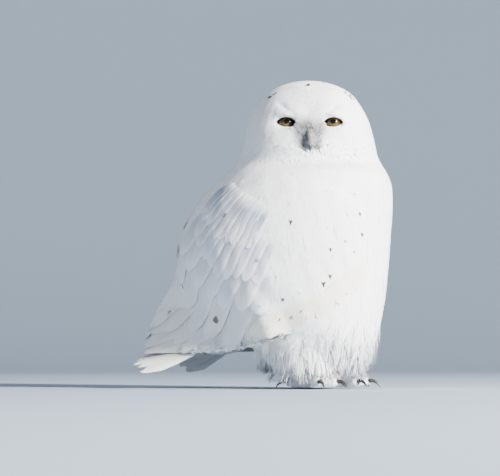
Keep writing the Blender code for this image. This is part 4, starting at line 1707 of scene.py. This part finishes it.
def bristle_bed(plumes):
    """One closed sheet, wide between the eyes and narrow at the bill's tip."""
    s, t = np.meshgrid(np.linspace(-1, 1, 25), np.linspace(0, 1, 27))
    z = FACE_Z + 0.004 - t * (FACE_Z - 0.001 - BILL_TIP_Z) - 0.008 * s**2 * (1 - t)
    a = s * (0.020 - 0.013 * t)
    points, facing = bridge.at(a + BRIDGE_HALF, z - corner.z)
    points = points - facing * 0.0006
    # The bed's grey is the bristles' own dark and painted shade.
    tone = 0.9 * bristle_tone_and_shade(a, z)
    patch = patches_at(points[12:13, 12])
    plumes.add(points[None, ::-1], patch, tone[None, ::-1], np.zeros(1), facing[None, ::-1])


def bristles(plumes, count):
    t = np.linspace(0, 1, 8)[None]
    u = dice.random(count) * 2 - 1
    a = np.sign(u) * np.abs(u) ** 1.25 * 0.0225
    z = FACE_Z + 0.010 - 0.50 * np.abs(a) - dice.random(count) * 0.029
    z = np.maximum(z, BILL_TIP_Z + 0.008)
    end_z = z - 0.012 - 0.010 * dice.random(count)
    end_z = np.maximum(end_z, BILL_TIP_Z + 0.004 + 0.003 * dice.random(count))
    end_a = a * (0.40 + 0.25 * dice.random(count))
    across = a[:, None] + (end_a - a)[:, None] * t**1.4
    height = z[:, None] + (end_z - z)[:, None] * t
    lines, facing = bridge.at(across + BRIDGE_HALF, height - corner.z)
    loose = 0.0002 + 0.0008 * dice.random(count)
    lift = -0.0015 * (1 - ramp(t, 0, 0.25)) + loose[:, None] * ramp(t, 0.1, 0.8)
    half = 0.00030 + 0.00035 * dice.random(count)
    points, aims = vanes(lines, facing, 3, half, lift, 0.1, 0.25, 0.05, 0.8)
    # Each bristle's grey is its own dark and painted shade, varied at random.
    grey = bristle_tone_and_shade(across, height)[:, :, None] + 0.35 * (dice.random((count, 1, 1)) - 0.5)
    grey = np.clip(np.repeat(grey, 3, axis=2), 0, 1)
    plumes.add(points, patches_at(lines[:, 0]), grey, np.zeros(count), aims)


whiskers = Plumes("bristles", bristle_and_shade_grey, 0.9)
bristle_bed(whiskers)
bristles(whiskers, 3400)
whisker_pieces = whiskers.pieces()

# %% [markdown]
# ## Stage, light and camera
#
# The floor is a round bowl, so that it fades into a wall on every side.

# %% A floor that curves up into a wall all round
FLOOR_RADIUS, CURVE, CURVE_STEPS = 3.1, 3.0, 18


def make_stage():
    pick()
    bpy.ops.mesh.primitive_circle_add(vertices=128, radius=FLOOR_RADIUS, location=(0, 0, -0.0006))
    bowl = bpy.context.object
    bowl.name = "stage_floor"
    bpy.ops.object.mode_set(mode="EDIT")
    bpy.ops.mesh.edge_face_add()
    rim = FLOOR_RADIUS
    bpy.ops.mesh.select_mode(type="EDGE")
    for step in range(1, CURVE_STEPS + 1):
        before, angle = ((k / CURVE_STEPS) * math.pi / 2 for k in (step - 1, step))
        wider = FLOOR_RADIUS + CURVE * math.sin(angle)
        rise = CURVE * (math.cos(before) - math.cos(angle))
        bpy.ops.mesh.extrude_edges_move(TRANSFORM_OT_translate={"value": (0, 0, rise)})
        bpy.ops.transform.resize(value=(wider / rim, wider / rim, 1))
        rim = wider
    bpy.ops.mesh.extrude_edges_move(TRANSFORM_OT_translate={"value": (0, 0, 1.5)})
    bpy.ops.mesh.select_all(action="SELECT")
    bpy.ops.mesh.normals_make_consistent(inside=True)
    bpy.ops.object.mode_set(mode="OBJECT")
    bpy.ops.object.shade_smooth()
    return bowl


stage_floor = make_stage()
paper = Board("stage_paper", roughness=0.95)
paper.shader.inputs["Base Color"].default_value = (0.30, 0.37, 0.46, 1)
stage_floor.data.materials.append(paper.material)
print("stage radius in metres:", FLOOR_RADIUS + CURVE)

# %% [markdown]
# The key light stands far off in front, to the left of the bird's face and a little above it, and
# is slightly warm. A wide and weak cooler one on the face's right keeps the shaded feathers
# blue-grey, and a third from above and behind draws the outline of head and back. The camera
# stands low and some way off, as for a bird on a post.


# %% Lights and the camera
def area_light(name, place, aim, size, power, colour):
    lamp = bpy.data.lights.new(name, "AREA")
    lamp.shape, lamp.size, lamp.energy, lamp.color = "DISK", size, power, colour
    made = bpy.data.objects.new(name, lamp)
    bpy.context.collection.objects.link(made)
    made.location = place
    made.rotation_euler = (aim - place).to_track_quat("-Z", "Y").to_euler()


CHEST = Vector((0, 0, 0.25))
area_light("key", CHEST + ACROSS * 3.3 + FACING * 2.6 + UP * 1.4, CHEST, 0.9, 1250, (1, 0.97, 0.93))
area_light("fill", CHEST - ACROSS * 2.4 + FACING * 2.2 + UP * 0.1, CHEST, 2.0, 26, (0.90, 0.94, 1))
area_light("top", CHEST - FACING * 1.2 + UP * 3.2, CHEST, 2.4, 40, (0.95, 0.97, 1))
world = bpy.data.worlds.new("studio")
world.use_nodes = True
sky = world.node_tree.nodes["Background"].inputs
sky["Color"].default_value = (0.80, 0.87, 1.0, 1)
sky["Strength"].default_value = 0.16
bpy.context.scene.world = world

CAMERA_AWAY = 3.0
lens = bpy.data.cameras.new("camera")
lens.sensor_width, lens.lens, lens.clip_end = 36, 158.8, 30
camera = bpy.data.objects.new("camera", lens)
bpy.context.collection.objects.link(camera)
aim = HEAD_MIDDLE - ACROSS * 0.0797
aim.z = 0.204
camera.location = aim + FACING * CAMERA_AWAY
camera.location.z = 0.045
camera.rotation_euler = (aim - camera.location).to_track_quat("-Z", "Y").to_euler()
bpy.context.scene.camera = camera
upward = math.atan2(aim.z - camera.location.z, CAMERA_AWAY)
print("the camera looks up by", round(math.degrees(upward), 1), "degrees")

# %% [markdown]
# ## Tie everything to the frame
#
# Each piece keeps the finish it was given and is tied to the root of the frame, and the solids
# that it takes the place of are hidden. The coat comes in many pieces, all on the body. The hidden
# envelope that carried the charts is no longer needed.

bpy.data.objects.remove(envelope)
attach(skin, "root")
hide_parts(*BODY_NODES)
feathers = coat_pieces + fringe_pieces + whisker_pieces + tail_pieces + rump_pieces
for piece in feathers + wing_pieces["right"] + wing_pieces["left"]:
    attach(piece, "root")
for side in EYES:
    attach(eyeballs[side], "root")
    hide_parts(f"eye_{side}")
    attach(lid_rings[side], "root")
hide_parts("wing_right")
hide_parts("wing_left")
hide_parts("tail")
